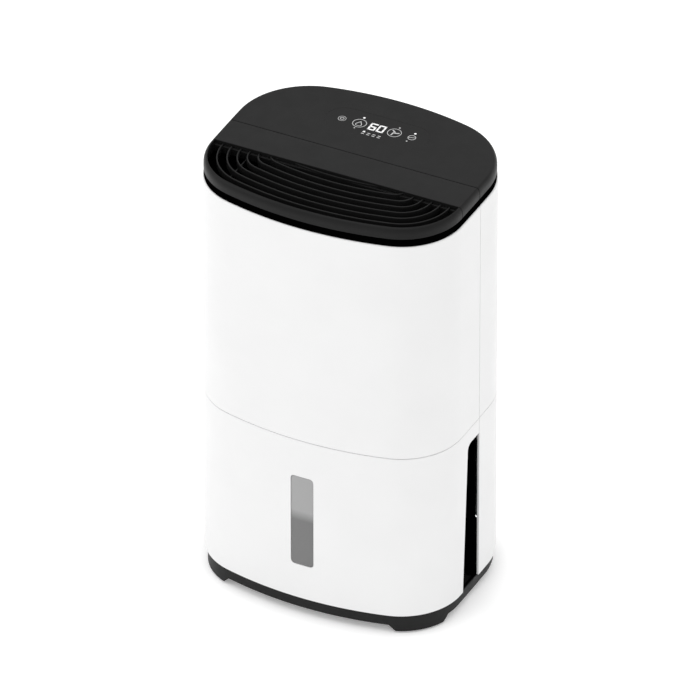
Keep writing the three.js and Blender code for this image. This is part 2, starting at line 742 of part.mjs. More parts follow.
// Float: a foam block on an arm, hinged at the tank's rear wall, hanging down when the tank is dry.
function tankFloat() {
  const left = floatLeft + 3 + slide;
  const right = floatRight - 3 - slide;
  const barrel = rodRight(3.4, floatPivotY, floatPivotZ, left, right, 14);
  const pin = rodRight(1.8, floatPivotY, floatPivotZ, floatLeft + 0.4, floatRight - 0.4, 12);
  const arm = block(76, 84, floatPivotY - 24, floatPivotY, floatPivotZ - 8, floatPivotZ - 1);
  const shoe = block(66, 94, floatPivotY - 44, floatPivotY - 18, floatPivotZ - 18, floatPivotZ - 2);
  return join(barrel, pin, arm, shoe);
}
add('tank_float', tankFloat(), foam);

// ---------------------------------------------------------------- tank bay
const bayInset = shellWall + 1;
const bayBottom = baseTop + rest;
const bayHalfWidth = bucketHalfWidth + 5.5;
const bayFrontY = -depth / 2 + 31;
function tankBay() {
  const inside = slabOf(bayInset, bayBottom, ceilingHeight + bayWall);
  const bulkhead = block(-far, far, bulkheadFront, bulkheadFront + bayWall, 0, far);
  const ceiling = block(-far, far, -far, bulkheadFront + bayWall, ceilingHeight, far);
  const sides = [1, -1].map((side) => block(
    Math.min(side * bayHalfWidth, side * (bayHalfWidth + bayWall)),
    Math.max(side * bayHalfWidth, side * (bayHalfWidth + bayWall)),
    bayFrontY, bulkheadFront + bayWall, 0, far,
  ));
  const walls = common(inside, join(bulkhead, ceiling, ...sides));
  const spoutHole = rodUp(spoutRadius + 2, 0, spoutY, ceilingHeight - 5, far, 20);
  return cut(walls, spoutHole);
}
add('tank_bay', tankBay(), blackPlastic);

add('tank_sensor', join(
  block(floatLeft + 29, floatRight + 9, bulkheadFront + bayWall + rest, bulkheadFront + 11,
    floatPivotZ - 20, floatPivotZ),
  block(floatLeft + 33, floatRight + 5, bulkheadFront + 10, bulkheadFront + 14,
    floatPivotZ - 16, floatPivotZ - 6),
), boardGreen);

// ---------------------------------------------------------------- drip pan
const panBottom = seamHeight + 3;
const panTop = panBottom + panHeight;
const panWall = 2;
const evaporatorBack = meshFront - 8;
const evaporatorFront = evaporatorBack - evaporatorDepth;
const condenserBack = evaporatorFront - 4;
const condenserFront = condenserBack - condenserDepth;
const panBack = evaporatorBack + 3;
const panHalfWidth = halfWidthAt(panBack, shellWall) - coilSideRoom;
const coilHalfWidth = panHalfWidth - 9;
const frameHalfWidth = coilHalfWidth + 11;

function dripPan() {
  const front = spoutY - 12;
  const tray = block(-panHalfWidth, panHalfWidth, front, panBack, panBottom, panTop);
  const hollow = block(
    -panHalfWidth + panWall, panHalfWidth - panWall, front + panWall, panBack - panWall,
    panBottom + panWall, panTop + 1,
  );
  const spout = rodUp(spoutRadius, 0, spoutY, ceilingHeight - 5, panBottom + 1, 20);
  const bore = rodUp(spoutRadius - 1.8, 0, spoutY, 0, far, 16);
  return cut(join(cut(tray, hollow), spout), bore);
}
add('drip_pan', dripPan(), greyPlastic);

// ---------------------------------------------------------------- coils
const coilBottom = panTop + 5;
const coilTop = shoulderHeight - coilHeadroom;
const coilHeight = coilTop - coilBottom;

// A fin block: end plates, fins across the air stream, and tube bends out of both ends.
function finBlock(front, back, tubeRows) {
  const core = block(-coilHalfWidth, coilHalfWidth, front, back, coilBottom, coilTop);
  const grooves = [];
  const finPitch = 36;
  for (let x = -coilHalfWidth + 10; x < coilHalfWidth - finPitch / 2; x += finPitch) {
    const right = x + finPitch / 2;
    grooves.push(block(x, right, front - 1, front + 2.5, coilBottom + 4, coilTop - 4));
    grooves.push(block(x, right, back - 2.5, back + 1, coilBottom + 4, coilTop - 4));
  }
  const bends = [];
  const middle = (front + back) / 2;
  const rowPitch = coilHeight / tubeRows;
  for (let row = 0; row < tubeRows; row += 1) {
    const z = coilBottom + (row + 0.5) * rowPitch;
    for (const side of [1, -1]) {
      const bend = new THREE.TorusGeometry(6, 2.6, 4, 6).rotateX(Math.PI / 2);
      bends.push(bend.translate(side * coilHalfWidth, middle, z));
    }
  }
  return join(cut(core, ...grooves), ...bends);
}
add('evaporator', finBlock(evaporatorFront, evaporatorBack, 4), fins);
add('condenser', finBlock(condenserFront, condenserBack, 4), fins);

const pipeRadius = 3.2;
const pipeStep = 15; // length of a straight piece of pipe
const capillaryStep = 2.4;
const dischargeZ = coilTop - 22;
const suctionZ = coilBottom + 22;
function coilFrame() {
  const front = condenserFront - 3;
  const back = evaporatorBack + 2;
  const outer = block(
    -frameHalfWidth - 2.5, frameHalfWidth + 2.5, front, back, panTop + rest, coilTop + 5.5,
  );
  const inner = block(-frameHalfWidth, frameHalfWidth, 0, far, panTop + 3, coilTop + 3);
  const dischargeHole = rodRight(
    pipeRadius + 2.5, (condenserFront + condenserBack) / 2, dischargeZ, 0, far, 14,
  );
  const suctionHole = rodRight(
    pipeRadius + 2.5, (evaporatorFront + evaporatorBack) / 2, suctionZ, -far, 0, 14,
  );
  const capillaryHole = rodRight(
    3, (condenserFront + condenserBack) / 2, coilBottom + 60, -far, 0, 10,
  );
  return cut(outer, inner, dischargeHole, suctionHole, capillaryHole);
}
add('coil_frame', coilFrame(), greyPlastic);

// ---------------------------------------------------------------- compressor and its pipes
const compressorX = 34;
const compressorY = splitY - 1 + compressorMargin + compressorRadius;
const mountHeight = 10;
const compressorFoot = bodyBottom + mountHeight + rest;
const compressorTop = compressorFoot + 158;

function compressor() {
  const r = compressorRadius;
  const shell = turnedUp([
    [0, compressorFoot], [r - 4, compressorFoot], [r - 4, compressorFoot + 3], [r - 8, compressorFoot + 4],
    [r, compressorFoot + 12], [r, compressorTop - 34], [r - 3, compressorTop - 22],
    [r - 12, compressorTop - 12], [12, compressorTop - 6], [6, compressorTop - 5], [6, compressorTop],
    [0, compressorTop],
  ], compressorX, compressorY, 24);
  const terminalCover = block(
    compressorX - 34, compressorX - 16, compressorY - 10, compressorY + 10,
    compressorTop - 30, compressorTop - 8,
  );
  return join(shell, terminalCover);
}
add('compressor', compressor(), enamel);

for (let i = 0; i < 3; i += 1) {
  const angle = Math.PI / 2 + (i * 2 * Math.PI) / 3;
  const x = compressorX + (compressorRadius - 14) * Math.cos(angle);
  const y = compressorY + (compressorRadius - 14) * Math.sin(angle);
  const b = bodyBottom;
  const waist = [[0, b], [9, b], [9, b + 3], [7, b + 5], [9, b + 7], [9, b + mountHeight], [0, b + mountHeight]];
  add(`compressor_mount_${i + 1}`, turnedUp(waist, x, y, 20), rubber);
}

const accumulatorX = compressorX - compressorRadius - 20;
const accumulatorBottom = compressorFoot + 40;
const accumulatorTop = accumulatorBottom + 92;
add('accumulator', turnedUp([
  [0, accumulatorBottom], [5, accumulatorBottom], [13, accumulatorBottom + 8],
  [13, accumulatorTop - 8], [5, accumulatorTop], [0, accumulatorTop],
], accumulatorX, compressorY, 20), enamel);

const pipeX = frameHalfWidth + 10;
const underPan = panBottom - 9;
const condenserY = (condenserFront + condenserBack) / 2;
const evaporatorY = (evaporatorFront + evaporatorBack) / 2;
add('discharge_pipe', tubeAlong([
  new THREE.Vector3(compressorX, compressorY, compressorTop + rest),
  new THREE.Vector3(compressorX, compressorY, underPan - 8),
  new THREE.Vector3(compressorX + 12, compressorY, underPan),
  new THREE.Vector3(pipeX - 12, condenserY, underPan),
  new THREE.Vector3(pipeX, condenserY, underPan + 12),
  new THREE.Vector3(pipeX, condenserY, dischargeZ - 10),
  new THREE.Vector3(pipeX - 4, condenserY, dischargeZ - 1.5),
  new THREE.Vector3(frameHalfWidth + 3, condenserY, dischargeZ),
  new THREE.Vector3(frameHalfWidth - 1, condenserY, dischargeZ),
], pipeRadius, pipeStep, 6), copper);
add('suction_pipe', tubeAlong([
  new THREE.Vector3(-frameHalfWidth + 1, evaporatorY, suctionZ),
  new THREE.Vector3(-frameHalfWidth - 3.5, evaporatorY, suctionZ),
  new THREE.Vector3(-frameHalfWidth - 7.5, evaporatorY, suctionZ - 3),
  new THREE.Vector3(-pipeX, evaporatorY - 4, suctionZ - 16),
  new THREE.Vector3(-pipeX + 2, compressorY + 4, underPan + 6),
  new THREE.Vector3(-pipeX + 26, compressorY, underPan - 6),
  new THREE.Vector3(accumulatorX - 10, compressorY, underPan - 10),
  new THREE.Vector3(accumulatorX, compressorY, underPan - 22),
  new THREE.Vector3(accumulatorX, compressorY, accumulatorTop + rest),
], pipeRadius, pipeStep, 6), copper);

function capillaryPoints() {
  const coilTurns = 3;
  const stepsPerTurn = 8;
  const coilRadius = 6;
  const middleX = -frameHalfWidth - 2.5 - coilRadius - 4;
  const startZ = coilBottom + 60;
  const points = [
    new THREE.Vector3(-frameHalfWidth + 1, condenserY, startZ),
    new THREE.Vector3(-frameHalfWidth - 3, condenserY, startZ),
  ];
  for (let i = 0; i <= coilTurns * stepsPerTurn; i += 1) {
    const angle = (2 * Math.PI * i) / stepsPerTurn;
    points.push(new THREE.Vector3(
      middleX + coilRadius * Math.cos(angle),
      condenserY + coilRadius * Math.sin(angle),
      startZ + 6 + (5 * i) / stepsPerTurn,
    ));
  }
  return points;
}
add('capillary_tube', tubeAlong(capillaryPoints(), 1.3, capillaryStep, 5), copper);

// ---------------------------------------------------------------- electrical parts
const boxRight = accumulatorX - 18;
const boxLeft = -width / 2 + 17;
function controlBox() {
  const bottom = bodyBottom + 30;
  const top = bottom + 110;
  const front = bulkheadFront + bayWall + 8;
  const body = block(boxLeft, boxRight, front, front + 42, bottom, top);
  const rim = block(boxLeft - 2, boxRight + 2, front + 36, front + 44, bottom - 2, top + 2);
  return join(body, rim);
}
add('control_box', controlBox(), greyPlastic);
add('run_capacitor', rodUp(
  14, boxRight - 17, bulkheadFront + bayWall + 70, bodyBottom + rest, bodyBottom + 56, 20,
), enamel);
add('humidity_sensor', block(
  frameHalfWidth + 3, frameHalfWidth + 5, evaporatorY - 7, evaporatorY + 7,
  coilBottom + 60, coilBottom + 80,
), boardGreen);

// ---------------------------------------------------------------- fan
const fanZ = panTop + 1 + scrollLarge + scrollWall;
const scrollTop = shoulderHeight - 3;

// The scroll's inner wall is a spiral that widens from the tongue round to the outlet duct.
function scrollShape(grow, top) {
  const shape = new THREE.Shape();
  const tongue = Math.PI / 3;
  const steps = 18;
  for (let i = 0; i <= steps; i += 1) {
    const t = i / steps;
    const angle = tongue + t * (2 * Math.PI - tongue);
    const radius = scrollSmall + (scrollLarge - scrollSmall) * t + grow;
    const x = radius * Math.cos(angle);
    const z = fanZ + radius * Math.sin(angle);
    shape[i === 0 ? 'moveTo' : 'lineTo'](x, z);
  }
  shape.lineTo(scrollLarge + grow, top);
  shape.lineTo(scrollSmall * Math.cos(tongue) - grow, top);
  shape.closePath();
  return shape;
}
function fanScroll() {
  const outer = prismBack(scrollShape(scrollWall, scrollTop), scrollFront, scrollBack);
  const inner = prismBack(
    scrollShape(0, scrollTop + 10), scrollFront + scrollWall, scrollBack - scrollWall,
  );
  const inlet = rodBack(impellerRadius - 10, 0, fanZ, scrollBack - 5, far, 36);
  const shaftHole = rodBack(shaftRadius + 2, 0, fanZ, -far, scrollFront + 5, 16);
  return cut(outer, inner, inlet, shaftHole);
}
add('fan_scroll', fanScroll(), greyPlastic);

const impellerFront = scrollFront + scrollWall + 2.5;
const impellerBack = impellerFront + impellerWidth;
const bladeCount = 16;
function fanImpeller() {
  const plate = rodBack(impellerRadius, 0, fanZ, impellerFront, impellerFront + 2, 48);
  const hub = rodBack(12, 0, fanZ, impellerFront, impellerFront + 22, 24);
  const outerRing = rodBack(impellerRadius, 0, fanZ, impellerBack - 3, impellerBack, 48);
  const ringHole = rodBack(impellerRadius - 6, 0, fanZ, impellerBack - 10, far, 36);
  const blades = [];
  for (let i = 0; i < bladeCount; i += 1) {
    const blade = new THREE.BoxGeometry(14, impellerWidth - 2, 1.5);
    blade.rotateY(0.55).translate(impellerRadius - 7.4, impellerFront + impellerWidth / 2, 0);
    blade.rotateY((2 * Math.PI * i) / bladeCount).translate(0, 0, fanZ);
    blades.push(blade);
  }
  const bore = rodBack(shaftRadius + turn, 0, fanZ, -far, far, 16);
  return cut(join(plate, hub, ...blades, cut(outerRing, ringHole)), bore);
}
add('fan_impeller', fanImpeller(), blackPlastic);

add('fan_motor', join(
  rodBack(motorRadius, 0, fanZ, motorFront, motorBack, 32),
  rodBack(10, 0, fanZ, motorFront - 1.5, motorFront + 1, 20),
  rodBack(shaftRadius, 0, fanZ, motorBack - 1, impellerFront + 21, 16),
), enamel);

export default dehumidifier;
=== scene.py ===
# %% [markdown]
# # A free-standing dehumidifier
# The engineering model gives the frame: every solid part at its true place, in metres.
# This lesson puts the looks on it. Most visible parts are made again as smooth surfaces
# worked out with numpy, and each one rides on the same body as the part it stands for.
# The parts inside keep their engineering mesh and only get a finish.

# %% Load the frame
import json
import math

import bmesh
import bpy
import numpy as np
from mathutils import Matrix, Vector

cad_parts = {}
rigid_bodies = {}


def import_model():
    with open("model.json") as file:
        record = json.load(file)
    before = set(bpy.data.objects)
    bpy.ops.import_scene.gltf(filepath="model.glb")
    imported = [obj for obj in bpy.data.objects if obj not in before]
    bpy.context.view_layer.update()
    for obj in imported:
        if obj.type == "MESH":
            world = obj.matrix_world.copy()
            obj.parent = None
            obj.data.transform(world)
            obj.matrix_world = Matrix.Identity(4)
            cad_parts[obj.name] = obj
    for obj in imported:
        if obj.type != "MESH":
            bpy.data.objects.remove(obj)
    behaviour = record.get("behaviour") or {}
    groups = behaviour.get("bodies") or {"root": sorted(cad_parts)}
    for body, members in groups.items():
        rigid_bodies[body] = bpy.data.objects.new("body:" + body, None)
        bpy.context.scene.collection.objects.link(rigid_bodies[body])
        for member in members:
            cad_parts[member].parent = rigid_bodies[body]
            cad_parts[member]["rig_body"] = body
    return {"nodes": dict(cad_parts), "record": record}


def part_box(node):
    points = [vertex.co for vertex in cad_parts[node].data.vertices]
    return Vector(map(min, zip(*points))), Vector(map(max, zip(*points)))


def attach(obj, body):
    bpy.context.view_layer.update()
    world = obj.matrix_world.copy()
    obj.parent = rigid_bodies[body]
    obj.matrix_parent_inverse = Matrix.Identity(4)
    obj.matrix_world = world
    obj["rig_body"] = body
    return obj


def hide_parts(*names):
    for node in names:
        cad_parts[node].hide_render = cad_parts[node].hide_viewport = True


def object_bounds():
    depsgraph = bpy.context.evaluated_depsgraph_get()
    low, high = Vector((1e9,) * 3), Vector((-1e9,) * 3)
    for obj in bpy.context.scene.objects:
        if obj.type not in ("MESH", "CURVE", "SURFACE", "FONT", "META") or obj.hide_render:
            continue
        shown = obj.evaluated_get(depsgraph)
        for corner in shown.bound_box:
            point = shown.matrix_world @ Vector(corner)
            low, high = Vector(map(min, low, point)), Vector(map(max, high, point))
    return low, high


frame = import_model()
cad_low, cad_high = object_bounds()
print("parts in the frame:", len(frame["nodes"]))
print("size in mm:", [round(1000 * (b - a), 1) for a, b in zip(cad_low, cad_high)])

# %% [markdown]
# ## Reading places from the frame
# A place that is read from a part's own box never drifts away from that part.
# The seams between the shells are the most useful ones, so they get names here.

# %% Names for the seams and levels
MM = 0.001


def span(node):
    """The lowest and highest corner of a part's box, as two arrays in metres."""
    low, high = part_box(node)
    return np.array(low), np.array(high)


plinth_low, plinth_top = (corner[2] for corner in span("base_tray"))
tank_low, tank_top = (corner[2] for corner in span("tank_front"))
shell_low, shoulder = (corner[2] for corner in span("front_shell"))
rear_low, rear_top = (corner[2] for corner in span("rear_lower_shell"))
lid_low, lid_top = (corner[2] for corner in span("control_cover"))
front_end = span("front_shell")[1][1]
rear_start = span("rear_upper_shell")[0][1]
strip_front, strip_back = (corner[1] for corner in span("carry_handle"))
grille_back = span("outlet_grille")[1][1]
print("seam height", round(tank_top / MM, 1), "mm, lid from", round(lid_low / MM, 1), "mm")

# %% [markdown]
# ## The plan outline
# Seen from above, the body is a soft rectangle: a wide bow in front, another at the rear,
# almost flat sides and four large corners. All the shells, the lid and the ribs follow it,
# each at its own inset. One formula for the outline keeps all of them parallel.
# A spline through hand-set points could look alike, but its offsets wouldn't be parallel.

# %% Outline of the body at any inset
HALF_WIDTH = cad_high.x
HALF_DEPTH = cad_high.y
SIDE_BOW = 3.0
BOW = {-1: 0.379, 1: 0.356}
CORNER = {-1: 0.069, 1: 0.083}
SIDE_X = HALF_WIDTH - SIDE_BOW


def corner_centre(inset, end, radius):
    """Centre of a corner arc. It lies where two circles meet: one about the bow's centre,
    of radius bow - inset - radius, and one about the side's centre, likewise."""
    bow_y = end * (HALF_DEPTH - BOW[end])
    from_bow = BOW[end] - inset - radius
    from_side = SIDE_BOW - inset - radius
    gap = math.hypot(SIDE_X, bow_y)
    along = (from_bow**2 - from_side**2 + gap**2) / (2 * gap)
    across = np.sqrt(from_bow**2 - along**2)
    ux, uy = SIDE_X / gap, -bow_y / gap
    return along * ux + end * across * uy, bow_y + along * uy - end * across * ux


def arc(cx, cy, radius, start, stop, fractions):
    """Points centre + radius * (cos a, sin a), with a running from start to stop."""
    angle = start + (stop - start) * fractions
    return cx + radius * np.cos(angle), cy + radius * np.sin(angle)


def side_at(inset, y):
    """Half width of the outline at a given y: x = side centre + sqrt(R^2 - y^2)."""
    return SIDE_X + np.sqrt((SIDE_BOW - inset) ** 2 - y**2)


def quarter(inset, end, y_end, steps=(26, 22, 8), bow_fractions=None, least_corner=MM):
    """Right-hand quarter of the outline, from its middle round to the side at y = y_end.
    It is the bow's arc, the corner's arc, then the side x(y). Inset and y_end may be
    columns of values, and each gives one row of points."""
    inset = np.atleast_2d(np.asarray(inset, float)).reshape(-1, 1)
    y_end = np.broadcast_to(np.asarray(y_end, float).reshape(-1, 1), inset.shape)
    radius = np.maximum(CORNER[end] - inset, least_corner)
    cx, cy = corner_centre(inset, end, radius)
    bow_y = end * (HALF_DEPTH - BOW[end])
    bow_turn = np.arctan2(cy - bow_y, cx)
    side_turn = np.arctan2(cy, cx - SIDE_X)
    if bow_fractions is None:
        bow_fractions = np.linspace(0, 1, steps[0], endpoint=False)
    corner_fractions = np.linspace(0, 1, steps[1], endpoint=False)
    bow = arc(0, bow_y, BOW[end] - inset, end * math.pi / 2, bow_turn, bow_fractions)
    corner = arc(cx, cy, radius, bow_turn, side_turn, corner_fractions)
    corner_end = (SIDE_BOW - inset) * np.sin(side_turn)
    side_y = corner_end + (y_end - corner_end) * np.linspace(0, 1, steps[2])
    side = (side_at(inset, side_y), side_y)
    across = np.concatenate([bow[0], corner[0], side[0]], 1)
    deep = np.concatenate([bow[1], corner[1], side[1]], 1)
    return across, deep


def half_path(inset, end, y_end, **options):
    """The whole front (end -1) or rear (end +1), counter-clockwise as seen from above."""
    x, y = quarter(inset, end, y_end, **options)
    x = np.concatenate([-x[:, :0:-1], x], 1)
    y = np.concatenate([y[:, :0:-1], y], 1)
    return (x, y) if end < 0 else (x[:, ::-1], y[:, ::-1])


def whole_loop(inset, y_join=0.0, **options):
    """The closed outline: the front path, then the rear path without its two end points."""
    front = half_path(inset, -1, y_join, **options)
    rear = half_path(inset, 1, y_join, **options)
    return tuple(np.concatenate([f, r[:, 1:-1]], 1) for f, r in zip(front, rear))


def carry(path, profile):
    """Carries a profile of (inset, height) pairs along a path: one row for each pair."""
    x, y = path(profile[:, 0])
    return np.stack([x, y, np.broadcast_to(profile[:, 1:2], x.shape)], -1)


def front_wall(profile, y_end=front_end, **options):
    return carry(lambda inset: half_path(inset, -1, y_end, **options), profile)


def rear_wall(profile, y_end=rear_start, **options):
    return carry(lambda inset: half_path(inset, 1, y_end, **options), profile)


print("outline at inset 0: half width", round(float(side_at(0, 0)) / MM, 2), "mm")

# %% [markdown]
# ## From arrays to meshes
# A grid of points becomes a sheet of four-sided faces. A closed profile carried along an
# open path also needs its two ends capped. Every piece then goes through the same steps:
# weld, wall thickness, cut-outs, rounded edges, and normals weighted by face area, so that
# flat faces shade flat next to their soft edges. Doing it in one function keeps them alike.

# %% Sheets, tubes, turned shapes and plates


def sheet(grid, close_rows=False, close_columns=False, keep=None):
    """Faces between neighbouring points of a grid with shape (rows, columns, 3)."""
    rows, columns = grid.shape[:2]
    index = np.arange(rows * columns).reshape(rows, columns)
    if close_rows:
        index = np.vstack([index, index[:1]])
    if close_columns:
        index = np.hstack([index, index[:, :1]])
    quads = np.stack([index[:-1, :-1], index[:-1, 1:], index[1:, 1:], index[1:, :-1]], -1)
    quads = quads.reshape(-1, 4) if keep is None else quads[keep]
    return grid.reshape(-1, 3), quads.tolist()


def tube(grid):
    """A closed profile (the rows) carried along an open path (the columns), with end caps."""
    points, faces = sheet(grid, close_rows=True)
    index = np.arange(len(points)).reshape(grid.shape[:2])
    return points, faces + [index[:, 0].tolist(), index[::-1, -1].tolist()]


def soften(corners, setback, steps=5):
    """Rounds a closed profile. Each corner P becomes the curve
    (1-t)^2 A + 2t(1-t) P + t^2 B, where A and B are on its edges, a setback from P."""
    corners = np.asarray(corners, float)
    setback = np.broadcast_to(setback, len(corners))[:, None]
    back = np.roll(corners, 1, 0) - corners
    ahead = np.roll(corners, -1, 0) - corners
    a = corners + back / np.linalg.norm(back, axis=1, keepdims=True) * setback
    b = corners + ahead / np.linalg.norm(ahead, axis=1, keepdims=True) * setback
    t = np.linspace(0, 1, steps)[:, None]
    curve = (1 - t) ** 2 * a[:, None] + 2 * t * (1 - t) * corners[:, None] + t**2 * b[:, None]
    return curve.reshape(-1, 2)


def turned(profile, centre, axis="z", sides=48):
    """A profile of (radius, height) pairs turned about an axis: x = r cos a, y = r sin a.
    Pairs at radius 0 close the two ends."""
    profile = np.asarray(profile, float)
    angle = np.linspace(0, 2 * math.pi, sides, endpoint=False)
    r, h = profile[:, :1], profile[:, 1:]
    grid = np.stack([r * np.cos(angle), r * np.sin(angle), h + 0 * angle], -1)
    if axis == "y":
        grid = grid[..., [0, 2, 1]]
    if axis == "x":
        grid = grid[..., [2, 0, 1]]
    return sheet(grid + np.asarray(centre, float), close_columns=True)


def block(low, high):
    """A six-sided block between two corners. Its edges are rounded with the whole piece."""
    low, high = np.minimum(low, high), np.maximum(low, high)
    pick = np.array([[0, 0, 0], [1, 0, 0], [1, 1, 0], [0, 1, 0], [0, 0, 1], [1, 0, 1], [1, 1, 1], [0, 1, 1]])
    faces = [[0, 3, 2, 1], [4, 5, 6, 7], [0, 1, 5, 4], [1, 2, 6, 5], [2, 3, 7, 6], [3, 0, 4, 7]]
    return np.where(pick, high, low), faces


def plate(outline, bottom, top):
    """A flat outline of (x, y) points given a thickness, with both faces closed."""
    outline = np.asarray(outline, float)
    count = len(outline)
    points = np.vstack([
        np.column_stack([outline, np.full(count, bottom)]),
        np.column_stack([outline, np.full(count, top)]),
    ])
    near = np.arange(count)
    far = np.roll(near, -1)
    sides = np.stack([near, far, far + count, near + count], -1).tolist()
    return points, sides + [near[::-1].tolist(), (near + count).tolist()]


# %% One way to finish every piece
WELD = 2e-6
SOFT_ANGLE = math.radians(38)


def plain_mesh(name, parts, closed):
    """Joins (points, faces) parts into one mesh and welds the seams within it."""
    counts = np.cumsum([0] + [len(points) for points, _ in parts])
    points = np.vstack([points for points, _ in parts])
    faces = [[i + start for i in face] for start, (_, made) in zip(counts, parts) for face in made]
    mesh = bpy.data.meshes.new(name)
    mesh.from_pydata(points.tolist(), [], faces)
    work = bmesh.new()
    work.from_mesh(mesh)
    bmesh.ops.remove_doubles(work, verts=work.verts, dist=WELD)
    bmesh.ops.dissolve_degenerate(work, edges=work.edges, dist=WELD)
    if closed:
        bmesh.ops.recalc_face_normals(work, faces=work.faces)
    work.to_mesh(mesh)
    work.free()
    return mesh


def add_object(name, mesh):
    made = bpy.data.objects.new(name, mesh)
    bpy.context.scene.collection.objects.link(made)
    return made


def bake_modifiers(made):
    """Turns what the modifiers show into the object's own mesh, and removes them."""
    shown = made.evaluated_get(bpy.context.evaluated_depsgraph_get())
    mesh = bpy.data.meshes.new_from_object(shown)
    made.modifiers.clear()
    made.data = mesh


def cut_with(made, tools):
    for number, tool in enumerate(tools):
        cutter = add_object(f"{made.name}_cutter_{number}", plain_mesh("cutter", [tool], True))
        saw = made.modifiers.new("Cut", "BOOLEAN")
        saw.operation = "DIFFERENCE"
        saw.solver = "EXACT"
        saw.object = cutter
        bake_modifiers(made)
        bpy.data.objects.remove(cutter)


def keep_inside(mesh):
    """Clips every point to the engineering model's box, so rounding an edge adds no size."""
    points = np.empty(3 * len(mesh.vertices), np.float32)
    mesh.vertices.foreach_get("co", points)
    inside = np.clip(points.reshape(-1, 3), np.array(cad_low), np.array(cad_high))
    mesh.vertices.foreach_set("co", inside.astype(np.float32).ravel())
    mesh.update()


def finish_piece(name, parts, material, replaces, wall=0.0, edge=0.0, cutters=(), like=None):
    """Makes one finished piece that rides with, and stands for, the parts it replaces."""
    made = add_object(name, plain_mesh(name, parts, closed=not wall))
    if wall:
        thick = made.modifiers.new("Wall", "SOLIDIFY")
        thick.thickness = wall
        thick.offset = -1
        thick.use_even_offset = True
    bake_modifiers(made)
    cut_with(made, cutters)
    if edge:
        rounding = made.modifiers.new("Edges", "BEVEL")
        rounding.width = edge
        rounding.segments = 3
        rounding.limit_method = "ANGLE"
        rounding.angle_limit = SOFT_ANGLE
        rounding.use_clamp_overlap = False
    bake_modifiers(made)
    keep_inside(made.data)
    made.data.shade_smooth()
    made.data.set_sharp_from_angle(angle=SOFT_ANGLE)
    even = made.modifiers.new("Normals", "WEIGHTED_NORMAL")
    even.keep_sharp = True
    bake_modifiers(made)
    made.data.materials.clear()
    made.data.materials.append(material)
    model = like or replaces[0]
    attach(made, frame["nodes"][model]["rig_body"])
    if replaces:
        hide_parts(*replaces)
    print(f"{name}: {len(made.data.polygons)} faces")
    return made


SLOT_OF = {part["node"]: part["material_slot"] for part in frame["record"]["subparts"]}
print("slots:", sorted(set(SLOT_OF.values())))

# %% [markdown]
# ## Finishes
# Almost everything here is moulded plastic. Under studio light such plastic shows three
# things: a colour that is not quite even, a gloss that is not quite even, and a fine skin,
# either eroded grain or the faint waviness called orange peel. One function makes all
# three from noise in Object coordinates, so the pattern stays with the piece as it moves.

# %% Building blocks for the finishes


def new_finish(name, roughness, metallic=0.0, specular=0.5):
    """A material with its shader set, and the point (x, y, z) in metres to work from."""
    material = bpy.data.materials.new(name)
    material.use_nodes = True
    tree = material.node_tree
    shader = tree.nodes["Principled BSDF"]
    shader.inputs["Roughness"].default_value = roughness
    shader.inputs["Metallic"].default_value = metallic
    shader.inputs["Specular IOR Level"].default_value = specular
    place = tree.nodes.new("ShaderNodeTexCoord").outputs["Object"]
    return material, tree, shader, place


def noise(tree, place, per_metre, detail=3.0):
    """Soft random values from 0 to 1, with this many bumps in a metre."""
    node = tree.nodes.new("ShaderNodeTexNoise")
    node.inputs["Scale"].default_value = per_metre
    node.inputs["Detail"].default_value = detail
    tree.links.new(place, node.inputs["Vector"])
    return node.outputs["Fac"]


def stripes(tree, place, per_metre, direction, shape="SIN"):
    """Parallel bands across one axis, as a value from 0 to 1."""
    node = tree.nodes.new("ShaderNodeTexWave")
    node.bands_direction = direction
    node.wave_profile = shape
    node.inputs["Scale"].default_value = per_metre * 0.314
    tree.links.new(place, node.inputs["Vector"])
    return node.outputs["Fac"]


def spread(tree, value, low, high, start=0.3, end=0.7):
    """Maps a value's range start..end on to low..high."""
    node = tree.nodes.new("ShaderNodeMapRange")
    for name, number in (("From Min", start), ("From Max", end), ("To Min", low), ("To Max", high)):
        node.inputs[name].default_value = number
    tree.links.new(value, node.inputs["Value"])
    return node.outputs["Result"]


def tint(tree, value, dark, light, start=0.3, end=0.7):
    """A colour that runs from dark to light as the value goes from start to end."""
    node = tree.nodes.new("ShaderNodeValToRGB")
    node.color_ramp.elements[0].position = start
    node.color_ramp.elements[1].position = end
    node.color_ramp.elements[0].color = (*dark, 1)
    node.color_ramp.elements[1].color = (*light, 1)
    tree.links.new(value, node.inputs["Fac"])
    return node.outputs["Color"]


def relief(tree, shader, value, depth):
    """Bumps of this depth in metres. The mesh keeps its shape and only the light changes."""
    node = tree.nodes.new("ShaderNodeBump")
    node.inputs["Strength"].default_value = 1.0
    node.inputs["Distance"].default_value = depth
    tree.links.new(value, node.inputs["Height"])
    tree.links.new(node.outputs["Normal"], shader.inputs["Normal"])


def moulded(name, dark, light, roughness, grain=900, depth=0.00002, specular=0.5, gloss_play=0.05):
    """Moulded plastic: cloudy colour, uneven gloss, and grain of this many bumps a metre."""
    material, tree, shader, place = new_finish(name, roughness, specular=specular)
    cloud = noise(tree, place, 14)
    tree.links.new(tint(tree, cloud, dark, light), shader.inputs["Base Color"])
    smear = noise(tree, place, 55)
    rough = spread(tree, smear, roughness - gloss_play, roughness + gloss_play)
    tree.links.new(rough, shader.inputs["Roughness"])
    relief(tree, shader, noise(tree, place, grain, 2.0), depth)
    return material


def grey(level):
    return (level, level, level)


